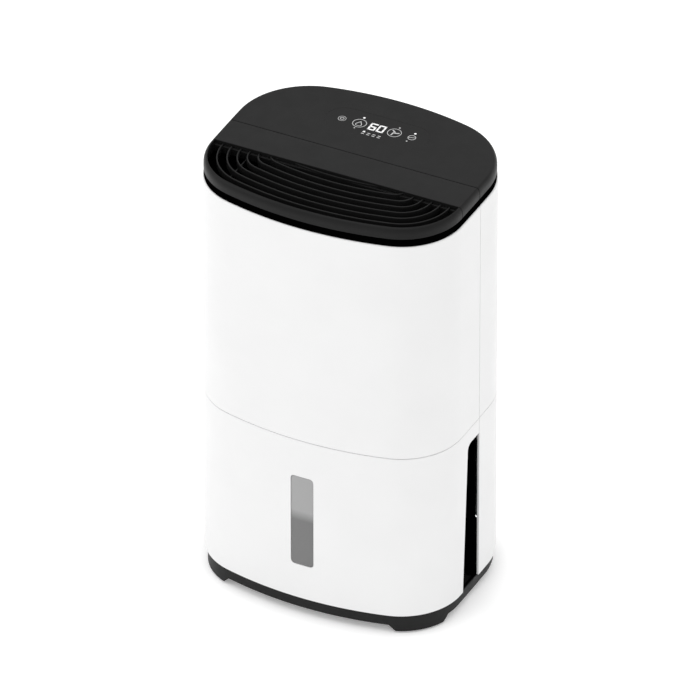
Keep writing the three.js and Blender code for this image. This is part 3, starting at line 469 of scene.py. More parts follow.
# %% Plastics, rubber and foam
FINISH = {
    "white_plastic": moulded("white_shell", grey(0.735), grey(0.755), 0.36, 420, 0.000012, 0.4),
    "lid_plastic": moulded("lid_grain", grey(0.0072), grey(0.0092), 0.42, 2600, 0.00003, 0.14),
    "panel_plastic": moulded(
        "touch_panel_gloss", grey(0.0060), grey(0.0074), 0.34, 300, 0.000004, 0.14, 0.03
    ),
    "base_plastic": moulded("base_grain", grey(0.0085), grey(0.0115), 0.5, 2200, 0.00003, 0.16),
    # black_plastic: the inner parts' own black, made near zero and without gloss, so the recessed neck, the
    # gap above the base and other recesses also carry painted shade
    "black_plastic": moulded("black_inner_and_painted_shade", grey(0.0004), grey(0.0007), 0.8, 1500, 0.00003, 0.0),
    "tank_plastic": moulded("tank_translucent_grey", grey(0.24), grey(0.30), 0.3, 260, 0.00003, 0.5),
    "grey_plastic": moulded("grey_moulding", grey(0.40), grey(0.46), 0.5, 1600, 0.00003, 0.4),
    "foam": moulded("float_foam", (0.70, 0.68, 0.62), (0.82, 0.80, 0.75), 0.9, 1300, 0.0002, 0.2),
    "rubber": moulded("soft_rubber", grey(0.008), grey(0.014), 0.82, 1900, 0.00005, 0.3),
    "enamel": moulded("black_enamel", grey(0.008), grey(0.012), 0.34, 500, 0.00002, 0.5),
}
print("plastic finishes:", len(FINISH))

# %% [markdown]
# ## The level window
# The window is a smoked lens. Its upper part looks light grey and its lower part darker,
# with a soft border between them, because the tank wall and the water lie behind it.
# Real transparency would show the dark tank bay, which needs far more samples to look
# clean, so the border is painted on the lens by height instead, under a clear gloss.

# %% Window lens finish


def window_lens():
    material, tree, shader, place = new_finish("smoked_lens", 0.16, specular=0.35)
    split = tree.nodes.new("ShaderNodeSeparateXYZ")
    tree.links.new(place, split.inputs["Vector"])
    lens_low, lens_high = (corner[2] for corner in span("level_window"))
    middle = lens_low + 0.53 * (lens_high - lens_low)
    height = spread(tree, split.outputs["Z"], 0, 1, middle - 0.003, middle + 0.009)
    tree.links.new(tint(tree, height, grey(0.135), grey(0.305), 0, 1), shader.inputs["Base Color"])
    shader.inputs["Coat Weight"].default_value = 0.4
    shader.inputs["Coat Roughness"].default_value = 0.06
    relief(tree, shader, noise(tree, place, 120), 0.00002)
    return material


FINISH["window_lens"] = window_lens()

# %% [markdown]
# ## Mesh, board and metals
# The inner parts are seldom seen, but the model is turned, opened and cut apart by others.
# Each gets the mark of how it is made: woven strands, board tracks, pressed fins, drawn
# copper that has started to tarnish, and brushed screw heads.

# %% Filter fabric, circuit board and metals


def filter_fabric():
    material, tree, shader, place = new_finish("filter_fabric", 0.85, specular=0.2)
    warp = stripes(tree, place, 700, "X")
    weft = stripes(tree, place, 700, "Z")
    weave = tree.nodes.new("ShaderNodeMath")
    weave.operation = "MULTIPLY"
    tree.links.new(warp, weave.inputs[0])
    tree.links.new(weft, weave.inputs[1])
    woven = weave.outputs["Value"]
    tree.links.new(tint(tree, woven, grey(0.01), grey(0.09), 0.1, 0.8), shader.inputs["Base Color"])
    relief(tree, shader, woven, 0.0003)
    return material


def circuit_board():
    material, tree, shader, place = new_finish("circuit_board", 0.4)
    tracks = tree.nodes.new("ShaderNodeTexBrick")
    tracks.inputs["Scale"].default_value = 90
    tracks.inputs["Mortar Size"].default_value = 0.03
    tracks.inputs["Color1"].default_value = (0.012, 0.10, 0.045, 1)
    tracks.inputs["Color2"].default_value = (0.016, 0.13, 0.055, 1)
    tracks.inputs["Mortar"].default_value = (0.30, 0.24, 0.08, 1)
    tree.links.new(place, tracks.inputs["Vector"])
    tree.links.new(tracks.outputs["Color"], shader.inputs["Base Color"])
    relief(tree, shader, tracks.outputs["Fac"], 0.0001)
    return material


def metal(name, dark, light, roughness, per_metre, depth, banded=None):
    """Bare metal: two tones mixed by noise, and either pressed bands or fine scratches."""
    material, tree, shader, place = new_finish(name, roughness, metallic=1.0)
    tree.links.new(tint(tree, noise(tree, place, 40), dark, light), shader.inputs["Base Color"])
    marks = stripes(tree, place, per_metre, banded) if banded else noise(tree, place, per_metre)
    relief(tree, shader, marks, depth)
    return material


FINISH["filter_mesh"] = filter_fabric()
FINISH["circuit_board"] = circuit_board()
FINISH["fins"] = metal("aluminium_fins", grey(0.45), grey(0.62), 0.35, 550, 0.0005, "X")
FINISH["copper"] = metal("drawn_copper", (0.50, 0.22, 0.11), (0.72, 0.36, 0.20), 0.32, 300, 0.00003)
FINISH["steel"] = metal("screw_steel", grey(0.38), grey(0.52), 0.3, 900, 0.00002)
print("finishes:", len(FINISH), "missing:", set(SLOT_OF.values()) - set(FINISH))

for node, part in frame["nodes"].items():
    part.data.materials.clear()
    part.data.materials.append(FINISH[SLOT_OF[node]])

# %% [markdown]
# ## Camera
# The camera comes early, so that each new piece can be judged from it. A long lens far
# away keeps the upright edges parallel. The point it looks at is given
# along the view's own right and up directions.

# %% Long lens, looking down on the front right corner
AZIMUTH = math.radians(26.6)
ELEVATION = math.radians(34.5)
CAMERA_DISTANCE = 16.0
LENS = 796.0
AIM_RIGHT = -0.0022
AIM_UP = 0.2178

sin_a, cos_a = math.sin(AZIMUTH), math.cos(AZIMUTH)
sin_e, cos_e = math.sin(ELEVATION), math.cos(ELEVATION)
towards_camera = Vector((sin_a * cos_e, -cos_a * cos_e, sin_e))
view_right = Vector((cos_a, sin_a, 0))
view_up = Vector((-sin_a * sin_e, cos_a * sin_e, cos_e))
body_centre = (cad_low + cad_high) / 2
aim = view_right * AIM_RIGHT + view_up * AIM_UP
aim += towards_camera * body_centre.dot(towards_camera)

camera_data = bpy.data.cameras.new("camera")
camera_data.lens = LENS
camera_data.sensor_width = 36
camera_data.clip_end = 100
camera = add_object("camera", camera_data)
camera.location = aim + towards_camera * CAMERA_DISTANCE
camera.rotation_mode = "QUATERNION"
camera.rotation_quaternion = towards_camera.to_track_quat("Z", "Y")
bpy.context.scene.camera = camera
print("camera at", [round(value, 3) for value in camera.location])

# %% [markdown]
# ## Studio
# The object stands in a white sweep: even light from everywhere, a white floor, and two
# large soft lamps that give the dark lid its gentle highlights. A world colour alone would
# do for the even part, and the lamps add the direction that makes forms readable.

# %% Floor, sky and lamps
scene = bpy.context.scene
scene.view_settings.view_transform = "Standard"

floor_finish, floor_tree, floor_shader, floor_place = new_finish("studio_floor", 0.9, specular=0.1)
floor_cloud = noise(floor_tree, floor_place, 1.5)
floor_colour = tint(floor_tree, floor_cloud, grey(0.965), grey(0.975))
floor_tree.links.new(floor_colour, floor_shader.inputs["Base Color"])
floor_shader.inputs["Emission Color"].default_value = (1, 1, 1, 1)
floor_shader.inputs["Emission Strength"].default_value = 0.22
floor_size = 60.0
floor_line = np.linspace(-floor_size, floor_size, 9)
floor_x, floor_y = np.meshgrid(floor_line, floor_line)
floor_grid = np.stack([floor_x, floor_y, np.full_like(floor_x, -0.0001)], -1)
floor = add_object("studio_floor", plain_mesh("studio_floor", [sheet(floor_grid)], False))
floor.data.materials.append(floor_finish)

world = bpy.data.worlds.new("studio")
world.use_nodes = True
world.node_tree.nodes["Background"].inputs["Color"].default_value = (1, 1, 1, 1)
world.node_tree.nodes["Background"].inputs["Strength"].default_value = 0.92
scene.world = world


def soft_lamp(name, azimuth, elevation, distance, size, watts):
    """A square area lamp at this direction from the body, aimed at its centre."""
    a, e = math.radians(azimuth), math.radians(elevation)
    direction = Vector((math.sin(a) * math.cos(e), -math.cos(a) * math.cos(e), math.sin(e)))
    data = bpy.data.lights.new(name, "AREA")
    data.size = size
    data.energy = watts
    lamp = add_object(name, data)
    lamp.location = body_centre + direction * distance
    lamp.rotation_mode = "QUATERNION"
    lamp.rotation_quaternion = direction.to_track_quat("Z", "Y")


soft_lamp("overhead_lamp", 10, 80, 2.6, 2.6, 18)
soft_lamp("left_lamp", -60, 35, 2.6, 1.6, 8)
print("studio ready")

# %% [markdown]
# ## White shells
# The white skin is one wall 2.5 mm thick that turns in at the shoulder and at the seam.
# Only its outer face is drawn, as rows of the outline stacked in height.
# Thickening it inward gives the wall, and a narrow bevel softens each cut edge, which is what makes
# a seam between two white pieces visible at all.

# %% Front shell
SHELL_WALL = 2.5 * MM
SHOULDER_ROUND = 1.5 * MM
SHOULDER_WIDTH = 6.5 * MM
SHELL_EDGE = 0.35 * MM


def quarter_round(run, rise, count=7):
    """Offsets (inset, height) round a quarter of an ellipse, from upright to level."""
    angle = np.linspace(0, math.pi / 2, count)
    return np.column_stack([run * (1 - np.cos(angle)), rise * np.sin(angle)])


def upright(low, high, count):
    return np.column_stack([np.zeros(count), np.linspace(low, high, count)])


def shell_profile(low, high):
    """Straight up, round the shoulder, then level towards the middle."""
    wall = upright(low, high - SHOULDER_ROUND - MM, 18)
    turn = quarter_round(SHOULDER_ROUND, SHOULDER_ROUND, 4) + [0, high - SHOULDER_ROUND]
    level = np.array([[SHOULDER_WIDTH - MM, high], [SHOULDER_WIDTH, high]])
    return np.vstack([wall, turn, level])


finish_piece(
    "front_shell_skin", [sheet(front_wall(shell_profile(shell_low, shoulder)))],
    FINISH["white_plastic"], ["front_shell"], wall=SHELL_WALL, edge=SHELL_EDGE,
)

# %% Rear shells, with holes for the filter, screws, cord and drain
screw_names = [node for node in frame["nodes"] if node.startswith("rear_screw")]


def hole_back(node, clearance, depth=0.03):
    """A round cutter along y, centred on a part, that is as wide as the part and a gap."""
    low, high = span(node)
    middle = (low + high) / 2
    radius = (high[0] - low[0]) / 2 + clearance
    rod = [(0, -depth), (radius, -depth), (radius, depth), (0, depth)]
    return turned(rod, (middle[0], high[1], middle[2]), axis="y", sides=40)


GAP = 0.4 * MM
filter_low, filter_high = span("filter_cover")
inlet = block(
    (filter_low[0] - GAP, filter_low[1] - 0.02, filter_low[2] - GAP),
    (filter_high[0] + GAP, filter_high[1] + 0.02, filter_high[2] + GAP),
)
upper_holes = [hole_back(node, GAP) for node in screw_names if "upper" in node]
lower_holes = [hole_back(node, GAP) for node in screw_names if "lower" in node]
gland_low, gland_high = span("cord_gland")
plug_low, plug_high = span("drain_plug")
FLANGE = 3.0 * MM
PLUG_LIP = 2.4 * MM
lower_holes += [hole_back("cord_gland", GAP - FLANGE), hole_back("drain_plug", GAP - PLUG_LIP)]

finish_piece(
    "rear_upper_skin", [sheet(rear_wall(shell_profile(shell_low, shoulder)))],
    FINISH["white_plastic"], ["rear_upper_shell"], wall=SHELL_WALL, edge=SHELL_EDGE,
    cutters=[inlet, *upper_holes],
)
finish_piece(
    "rear_lower_skin", [sheet(rear_wall(upright(rear_low, rear_top, 18)))],
    FINISH["white_plastic"], ["rear_lower_shell"], wall=SHELL_WALL, edge=SHELL_EDGE,
    cutters=lower_holes,
)

# %% [markdown]
# ## The tank's front cover
# The lower front of the body is the face of the water tank. It has a tall window with
# round corners, and at each side a finger slot that runs down to the floor of the bay.
# Cutting these out with a Boolean would leave long thin faces on a curved surface, and
# they would show in its shading. Here the grid itself is shaped round the window and
# along the slot, so every face stays a neat four-sided one.

# %% Rows and columns that fit the window and the slot
lens_low, lens_high = span("level_window")
WINDOW_HALF_X = (lens_high[0] - lens_low[0]) / 2 + GAP
WINDOW_HALF_Z = (lens_high[2] - lens_low[2]) / 2 + GAP
WINDOW_CORNER = 4.5 * MM
window_z = (lens_low[2] + lens_high[2]) / 2
FRAME_HALF_X = WINDOW_HALF_X + 7 * MM
FRAME_HALF_Z = WINDOW_HALF_Z + 9 * MM
SLOT_TOP = 203 * MM
SLOT_CORNER = 7 * MM
SLOT_EDGE_TOP = strip_back - 25.7 * MM
SLOT_LEAN = 10 / 180

crowd = np.sin(np.linspace(-math.pi / 2, math.pi / 2, 29))
frame_z = window_z + FRAME_HALF_Z * crowd
frame_x = FRAME_HALF_X * np.sin(np.linspace(-math.pi / 2, math.pi / 2, 21))

arc_angle = np.linspace(0, math.pi / 2, 10)[1:]
z_rows = np.concatenate([
    np.linspace(tank_low, frame_z[0], 4)[:-1],
    frame_z,
    np.linspace(frame_z[-1], SLOT_TOP - SLOT_CORNER, 3)[1:],
    SLOT_TOP - SLOT_CORNER + SLOT_CORNER * np.sin(arc_angle),
    np.linspace(SLOT_TOP, tank_top - MM, 6)[1:],
])
slot_row = int(np.argmin(abs(z_rows - SLOT_TOP)))


def slot_edge(z):
    """Front edge of the finger slot: it leans forwards going down, and its top corner is
    an arc, y = edge + r - sqrt(r^2 - h^2), with h the height above the arc's centre."""
    above = np.clip(z - (SLOT_TOP - SLOT_CORNER), 0, SLOT_CORNER)
    lean = SLOT_EDGE_TOP - SLOT_LEAN * (SLOT_TOP - np.minimum(z, SLOT_TOP))
    return lean + SLOT_CORNER - np.sqrt(SLOT_CORNER**2 - above**2)


corner_x, corner_y = corner_centre(0.0, -1, CORNER[-1])
bow_angle = math.atan2(corner_x, BOW[-1] - HALF_DEPTH - corner_y)


def bow_share(x):
    """Where on the front bow a given x lies, from 0 in the middle to 1 at the corner."""
    return np.arcsin(x / BOW[-1]) / bow_angle


near_share = bow_share(frame_x[frame_x >= -1e-9])
bow_fractions = np.concatenate([near_share, np.linspace(near_share[-1], 1, 18)[1:-1]])
print("grid rows", len(z_rows), "bow columns", len(bow_fractions))

# %% Grid of the cover, with the window's frame woven in
FLANGE_ROUND = MM * 0.8
x_main, y_main = half_path(
    np.zeros(len(z_rows)), -1, slot_edge(z_rows), steps=(0, 22, 12), bow_fractions=bow_fractions
)
main_grid = np.stack([x_main, y_main, np.broadcast_to(z_rows[:, None], x_main.shape)], -1)
middle_column = (x_main.shape[1] - 1) // 2
reach = len(near_share) - 1
first_row = 3
last_row = first_row + len(frame_z) - 1


def window_rim(x, z):
    """Moves points from the frame's rectangle on to the window's rounded rectangle.
    A point is scaled on to the sharp rectangle, then pushed in at the corners: it ends
    a corner radius away from the nearest point of the rectangle's inner core."""
    px = x / FRAME_HALF_X * WINDOW_HALF_X
    pz = (z - window_z) / FRAME_HALF_Z * WINDOW_HALF_Z
    qx = np.clip(px, WINDOW_CORNER - WINDOW_HALF_X, WINDOW_HALF_X - WINDOW_CORNER)
    qz = np.clip(pz, WINDOW_CORNER - WINDOW_HALF_Z, WINDOW_HALF_Z - WINDOW_CORNER)
    length = np.maximum(np.hypot(px - qx, pz - qz), 1e-9)
    return qx + (px - qx) / length * WINDOW_CORNER, window_z + qz + (pz - qz) / length * WINDOW_CORNER


def on_front(x, z, inset=0.0):
    """The point of the front bow at this x and height, pushed in by an inset."""
    y = BOW[-1] - HALF_DEPTH - np.sqrt((BOW[-1] - inset) ** 2 - x**2)
    return np.stack([x, y, z], -1)


frame_part = main_grid[first_row : last_row + 1, middle_column - reach : middle_column + reach + 1]
edge_loop = np.concatenate([
    frame_part[0, :-1], frame_part[:-1, -1], frame_part[-1, :0:-1], frame_part[:0:-1, 0],
])
rim_x, rim_z = window_rim(edge_loop[:, 0], edge_loop[:, 2])
blend = np.linspace(0, 1, 6)[:, None]
woven = on_front(
    edge_loop[:, 0] * (1 - blend) + rim_x * blend, edge_loop[:, 2] * (1 - blend) + rim_z * blend
)
keep = np.ones((main_grid.shape[0] - 1, main_grid.shape[1] - 1), bool)
keep[first_row:last_row, middle_column - reach : middle_column + reach] = False

# the tabs above the slots, which reach back to the rear shell
tab_z = z_rows[slot_row:]
tab_share = np.linspace(0, 1, 10)
join_y = slot_edge(tab_z)[:, None]
tab_y = join_y + (front_end - join_y) * tab_share
tab_x = side_at(0.0, tab_y)
tab_grid = np.stack([tab_x, tab_y, np.broadcast_to(tab_z[:, None], tab_y.shape)], -1)
left_tab = tab_grid[:, ::-1] * [-1, 1, 1]

# the flange along the top, which turns in under the upper shell
turn = quarter_round(FLANGE_ROUND, FLANGE_ROUND, 3) + [0, tank_top - FLANGE_ROUND]
flange = np.vstack([[[0, tank_top - MM]], turn, [[4 * MM, tank_top], [9 * MM, tank_top]]])
flange_x, flange_y = half_path(
    flange[:, 0], -1, slot_edge(SLOT_TOP), steps=(0, 22, 12), bow_fractions=bow_fractions
)
back_y = np.broadcast_to(tab_y[:1], (len(flange), len(tab_share)))
back_x = side_at(flange[:, :1], back_y)
flange_x = np.hstack([-back_x[:, :0:-1], flange_x, back_x[:, 1:]])
flange_y = np.hstack([back_y[:, :0:-1], flange_y, back_y[:, 1:]])
flange_grid = np.stack([flange_x, flange_y, np.broadcast_to(flange[:, 1:], flange_x.shape)], -1)

finish_piece(
    "tank_front_skin",
    [sheet(main_grid, keep=keep), sheet(woven, close_columns=True), sheet(tab_grid), sheet(left_tab),
     sheet(flange_grid)],
    FINISH["white_plastic"], ["tank_front"], wall=SHELL_WALL, edge=0.3 * MM,
)

# %% [markdown]
# ## The window's lens
# The lens fills the window 0.6 mm behind the white face. A square grid is squeezed into
# the rounded rectangle: a point at share m of the way out goes to share m of the rim.

# %% Lens
lens_u, lens_v = np.meshgrid(np.linspace(-1, 1, 21), np.linspace(-1, 1, 41))
share = np.maximum(np.maximum(abs(lens_u), abs(lens_v)), 1e-9)
lens_rim = window_rim(lens_u / share * FRAME_HALF_X, window_z + lens_v / share * FRAME_HALF_Z)
shrink = 1 - GAP / WINDOW_HALF_X
lens_x = lens_rim[0] * share * shrink
lens_z = window_z + (lens_rim[1] - window_z) * share * (1 - GAP / WINDOW_HALF_Z)
finish_piece(
    "level_window_lens", [sheet(on_front(lens_x, lens_z, inset=0.6 * MM))],
    FINISH["window_lens"], ["level_window"], wall=2.2 * MM, edge=0.3 * MM,
)

# %% [markdown]
# ## Base
# Under the white body is a dark tray that stands on four feet. Between the feet its skirt
# is cut away in low arches with sloping ends. The skirt's lower edge is simply a height
# that depends on the place along the outline, so the arches need no cutting at all.

# %% Base tray and its rubber pads
PLINTH_INSET = 3 * MM
ARCH_TOP = 9.5 * MM
ARCH_SLOPE = 10 / 10.5
FRONT_ARCH = 98 * MM
REAR_ARCH = 88 * MM
SIDE_ARCH = 60 * MM
PAD_HEIGHT = span("foot_pad_front_right")[1][2]


def arch_height(distance, half_gap):
    """Height of an arch at a distance from its middle: flat, then sloping down to the feet."""
    return ARCH_TOP - np.maximum(distance - (half_gap - 5 * MM), 0) / ARCH_SLOPE


dense = dict(steps=(72, 60, 24))
loop_x, loop_y = whole_loop([PLINTH_INSET], **dense)
arch_x = np.where(loop_y < 0, FRONT_ARCH, REAR_ARCH)
lower_edge = np.maximum(arch_height(abs(loop_x), arch_x), arch_height(abs(loop_y), SIDE_ARCH))
lower_edge = np.clip(lower_edge, plinth_low, ARCH_TOP)
rise = np.array([0, 0.12, 0.5, 1.0])[:, None]
CHAMFER = 0.8 * MM
SHADOW_GAP = 1.6 * MM
skirt_z = lower_edge + (plinth_top - SHADOW_GAP - CHAMFER - lower_edge) * rise
skirt = np.stack([np.repeat(loop_x, 4, 0), np.repeat(loop_y, 4, 0), skirt_z], -1)
crown_top = plinth_top - SHADOW_GAP
turn = quarter_round(CHAMFER, CHAMFER, 5) + [PLINTH_INSET, crown_top - CHAMFER]
crown = carry(lambda inset: whole_loop(inset, **dense), turn)
scale = np.array([1.0, 0.9, 0.5, 0.0])[:, None, None]
plate_top = crown[-1] * np.concatenate([scale, scale, scale * 0 + 1], 2)


def foot_boss(pad):
    """A turned pillar from the rubber pad up to the tray."""
    low, high = span(pad)
    middle = (low + high) / 2
    radius = (high[0] - low[0]) / 2 + 0.5 * MM
    base = high[2] + 0.3 * MM
    profile = [(0, base), (radius - MM, base), (radius, base + MM), (radius, plinth_top - 2 * MM),
               (0, plinth_top - 2 * MM)]
    return turned(profile, (middle[0], middle[1], 0))


# A near-black ring sits in the gap between the white body and the tray, so that the gap reads as a dark line:
# painted shade.
painted_shade_profile = soften(
    [(PLINTH_INSET, crown_top - 2 * MM), (PLINTH_INSET, plinth_top), (PLINTH_INSET + 2 * MM, plinth_top),
     (PLINTH_INSET + 2 * MM, crown_top - 2 * MM)], 0.3 * MM, 3)
painted_shade_profile[:, 0] += 0.8 * MM
finish_piece(
    "base_gap_painted_shade", [sheet(carry(whole_loop, painted_shade_profile), close_rows=True, close_columns=True)],
    FINISH["black_plastic"], [], like="base_tray",
)
pads = [node for node in frame["nodes"] if node.startswith("foot_pad")]
finish_piece(
    "base_tray_skirt", [sheet(skirt, close_columns=True), sheet(crown, close_columns=True),
                        sheet(plate_top, close_columns=True)],
    FINISH["base_plastic"], ["base_tray"], wall=3 * MM, edge=0.4 * MM,
)
finish_piece(
    "base_foot_bosses", [foot_boss(pad) for pad in pads], FINISH["base_plastic"], [],
    like="base_tray",
)
for pad in pads:
    low, high = span(pad)
    middle = (low + high) / 2
    radius = (high[0] - low[0]) / 2
    disc = [(0, 0), (radius - 0.6 * MM, 0), (radius, 0.6 * MM), (radius, PAD_HEIGHT), (0, PAD_HEIGHT)]
    finish_piece(f"{pad}_rubber", [turned(disc, (middle[0], middle[1], 0))], FINISH["rubber"], [pad])

# %% [markdown]
# ## Lid edge
# The whole lid is one slab with the same soft edge: upright for a few millimetres, then a
# quarter of an ellipse. The control cover, the carry handle and the air outlet all share
# this edge, so it is written once.

# %% Profile of the lid's edge
LID_INSET = 1 * MM
LID_ROUND_RUN = 3.8 * MM
LID_ROUND_RISE = 7.5 * MM
lid_straight = lid_top - LID_ROUND_RISE
lid_turn = quarter_round(LID_ROUND_RUN, LID_ROUND_RISE, 14) + [LID_INSET, lid_straight]
lid_wall = np.array([[LID_INSET, lid_low], [LID_INSET, lid_low + MM], [LID_INSET, lid_straight - MM]])
lid_edge = np.vstack([lid_wall, lid_turn])
LID_EDGE = 0.45 * MM

# %% [markdown]
# ## Control cover
# The rear half of the lid carries the touch panel in a shallow recess. Its grid is a set
# of closed rings: they climb the edge, cross the flat top and drop into the recess. The
# rings change from the lid's outline to the panel's long round shape by mixing the two.

# %% Control cover
panel_low, panel_high = span("touch_panel")
panel_y = (panel_low[1] + panel_high[1]) / 2
PANEL_GAP = 0.3 * MM
PANEL_RADIUS = (panel_high[1] - panel_low[1]) / 2 + PANEL_GAP
PANEL_STRAIGHT = (panel_high[0] - panel_low[0]) / 2 + PANEL_GAP - PANEL_RADIUS
RECESS = 1.3 * MM
COVER_EDGE = 0.12 * MM


def stadium_towards(x, y):
    """Where the ray from the panel's centre through (x, y) leaves the panel's outline,
    two straight sides a radius away joined by half circles."""
    dx, dy = x, y - panel_y
    flat = PANEL_RADIUS / np.maximum(abs(dy), 1e-9)
    square = dx**2 + dy**2
    pull = PANEL_STRAIGHT * abs(dx)
    root = np.sqrt(np.maximum(pull**2 - (PANEL_STRAIGHT**2 - PANEL_RADIUS**2) * square, 0))
    share = np.where(abs(dx) * flat <= PANEL_STRAIGHT, flat, (pull + root) / square)
    return dx * share, panel_y + dy * share


def cover_ring(inset):
    """Rear outline at this inset, closed by a straight front edge."""
    x, y = half_path(inset, 1, rear_start)
    across = np.linspace(-1, 1, 70)[1:-1]
    return np.hstack([x, x[:, :1] * across]), np.hstack([y, np.full((len(x), 68), rear_start)])


cover_edge = carry(cover_ring, lid_edge)
rim = cover_edge[-1]
stadium = np.stack([*stadium_towards(rim[:, 0], rim[:, 1]), rim[:, 2]], -1)
share = np.array([0, 0.04, 0.15, 0.4, 0.7, 0.93, 1.0])[:, None, None]
top_rings = rim * (1 - share) + stadium * share
drop = np.array([0, 0.5, 1.0])[:, None, None] * [0, 0, RECESS]
panel_centre = np.array([0, panel_y, 0])
recess_rings = stadium - drop
floor_ring = (recess_rings[-1] - panel_centre) * [0.93, 0.8, 1] + panel_centre
floor_rings = np.stack([recess_rings[-1], floor_ring])
finish_piece(
    "control_cover_lid",
    [sheet(grid, close_columns=True) for grid in (cover_edge, top_rings, recess_rings, floor_rings)],
    FINISH["lid_plastic"], ["control_cover"], wall=2.4 * MM, edge=COVER_EDGE,
)

# %% [markdown]
# ## Touch panel and its prints
# The panel is a thin glossy plate. Its rings shrink to a line along its middle, which
# closes the flat top without a fan of thin faces. The symbols and the two-digit display
# glow through it: they are very thin plates lying on its surface.

# %% Touch panel plate
PANEL_TOP = lid_top - 0.08 * MM


def stadium_ring(radius, height, count=96):
    """The panel's outline at another radius: (+-straight + r cos a, r sin a)."""
    angle = np.linspace(0, 2 * math.pi, count, endpoint=False)
    x = radius * np.cos(angle) + PANEL_STRAIGHT * np.sign(np.cos(angle))
    return np.stack([x, panel_y + radius * np.sin(angle), np.full(count, height)], -1)


plate_radius = PANEL_RADIUS - PANEL_GAP / 10
panel_rings = [(0, panel_low[2]), (plate_radius, panel_low[2]), (plate_radius, PANEL_TOP - 0.05 * MM),
               (plate_radius - 0.05 * MM, PANEL_TOP), (plate_radius / 2, PANEL_TOP), (0, PANEL_TOP)]
panel_grid = np.stack([stadium_ring(*ring) for ring in panel_rings])
finish_piece(
    "touch_panel_plate", [sheet(panel_grid, close_columns=True)], FINISH["panel_plastic"], ["touch_panel"]
)

# %% Symbols on the panel
PRINT_LOW = PANEL_TOP - 0.02 * MM
PRINT_TOP = PANEL_TOP + 0.05 * MM


def ring_print(x, y, radius, line):
    """A flat ring: a small rectangle turned about the ring's centre."""
    inner = radius - line
    grid = turned([(inner, PRINT_LOW), (radius, PRINT_LOW), (radius, PRINT_TOP), (inner, PRINT_TOP),
                   (inner, PRINT_LOW)], (x, y, 0), sides=40)
    return grid


def dot_print(x, y, radius):
    outline = [(0, PRINT_LOW), (radius, PRINT_LOW), (radius, PRINT_TOP), (0, PRINT_TOP)]
    return turned(outline, (x, y, 0), sides=20)


def bar_print(x0, y0, x1, y1, line):
    """A straight stroke between two points, with square ends."""
    along = np.array([x1 - x0, y1 - y0])
    along = along / np.linalg.norm(along) * line / 2
    side = np.array([-along[1], along[0]])
    a, b = np.array([x0, y0]), np.array([x1, y1])
    corners = [a - along + side, a - along - side, b + along - side, b + along + side]
    return plate(corners, PRINT_LOW, PRINT_TOP)


def droplet_print(x, y, size, line):
    """Outline of a water drop: x = sin t * sin(t/2)^2, y = cos t, pointed where t is 0."""
    t = np.linspace(0, 2 * math.pi, 40, endpoint=False)
    drop = np.column_stack([-1.15 * np.sin(t) * np.sin(t / 2) ** 2, np.cos(t)])
    inner = [0, -0.12 * size] + drop * (size - line)
    rings = [np.column_stack([[x, y] + ring, np.full(40, height)]) for ring, height in (
        (inner, PRINT_LOW), (drop * size, PRINT_LOW), (drop * size, PRINT_TOP), (inner, PRINT_TOP),
        (inner, PRINT_LOW))]
    return sheet(np.stack(rings), close_columns=True)


def digit_prints(x, y, segments, half_x=3.1 * MM, half_y=5.4 * MM, line=1.9 * MM):
    """A seven-segment digit. The segments are named top, middle, bottom and four sides."""
    ends = {
        "top": (-1, 1, 1, 1), "middle": (-1, 0, 1, 0), "bottom": (-1, -1, 1, -1),
        "upper_left": (-1, 0, -1, 1), "upper_right": (1, 0, 1, 1),
        "lower_left": (-1, -1, -1, 0), "lower_right": (1, -1, 1, 0),
    }
    return [
        bar_print(x + a * half_x, y + b * half_y, x + c * half_x, y + d * half_y, line)
        for a, b, c, d in (ends[name] for name in segments.split())
    ]


def lit(name, colour, glow):
    """A print with its own light, faintly uneven as a lamp behind a film is."""
    material, tree, shader, place = new_finish(name, 0.5, specular=0.2)
    cloud = noise(tree, place, 500)
    mixed = tint(tree, cloud, tuple(0.85 * c for c in colour), colour)
    tree.links.new(mixed, shader.inputs["Base Color"])
    tree.links.new(mixed, shader.inputs["Emission Color"])
    shader.inputs["Emission Strength"].default_value = glow
    return material


bright = [*digit_prints(-4.6 * MM, panel_y, "top middle bottom upper_left lower_left lower_right"),
          *digit_prints(5.0 * MM, panel_y, "top bottom upper_left upper_right lower_left lower_right"),
          dot_print(-20 * MM, panel_y + 11 * MM, 1.3 * MM), dot_print(40 * MM, panel_y + 8 * MM, 1.3 * MM),
          dot_print(-9 * MM, panel_y - 11.6 * MM, 1.2 * MM)]
symbols = [
    ring_print(-40 * MM, panel_y, 4.4 * MM, 0.5 * MM),
    ring_print(-40 * MM, panel_y, 2.3 * MM, 0.7 * MM),
    ring_print(-20 * MM, panel_y, 7.6 * MM, 0.7 * MM),
    droplet_print(-20 * MM, panel_y - 0.3 * MM, 4.8 * MM, 1.1 * MM),
    ring_print(20 * MM, panel_y, 7.6 * MM, 0.7 * MM),
    ring_print(40 * MM, panel_y, 4.4 * MM, 0.7 * MM),
    bar_print(37 * MM, panel_y - 1 * MM, 43 * MM, panel_y + 1 * MM, 0.8 * MM),
    dot_print(38 * MM, panel_y - 8 * MM, 0.9 * MM),
    dot_print(-21 * MM, panel_y - 10 * MM, 0.8 * MM),
    dot_print(21 * MM, panel_y + 10.5 * MM, 1.0 * MM),
]
for turn_step in range(3):
    spoke = math.radians(90 + 120 * turn_step)
    bend = spoke + 0.7
    symbols.append(bar_print(
        20 * MM + 1.2 * MM * math.cos(spoke), panel_y + 1.2 * MM * math.sin(spoke),
        20 * MM + 4.6 * MM * math.cos(bend), panel_y + 4.6 * MM * math.sin(bend), 1.5 * MM,
    ))
for place_x in (-9, -3, 3, 9):
    for row_y in (-12.8, -15.6):
        symbols.append(bar_print(
            (place_x - 1.1) * MM, panel_y + row_y * MM, (place_x + 1.1) * MM, panel_y + row_y * MM, 1.1 * MM))
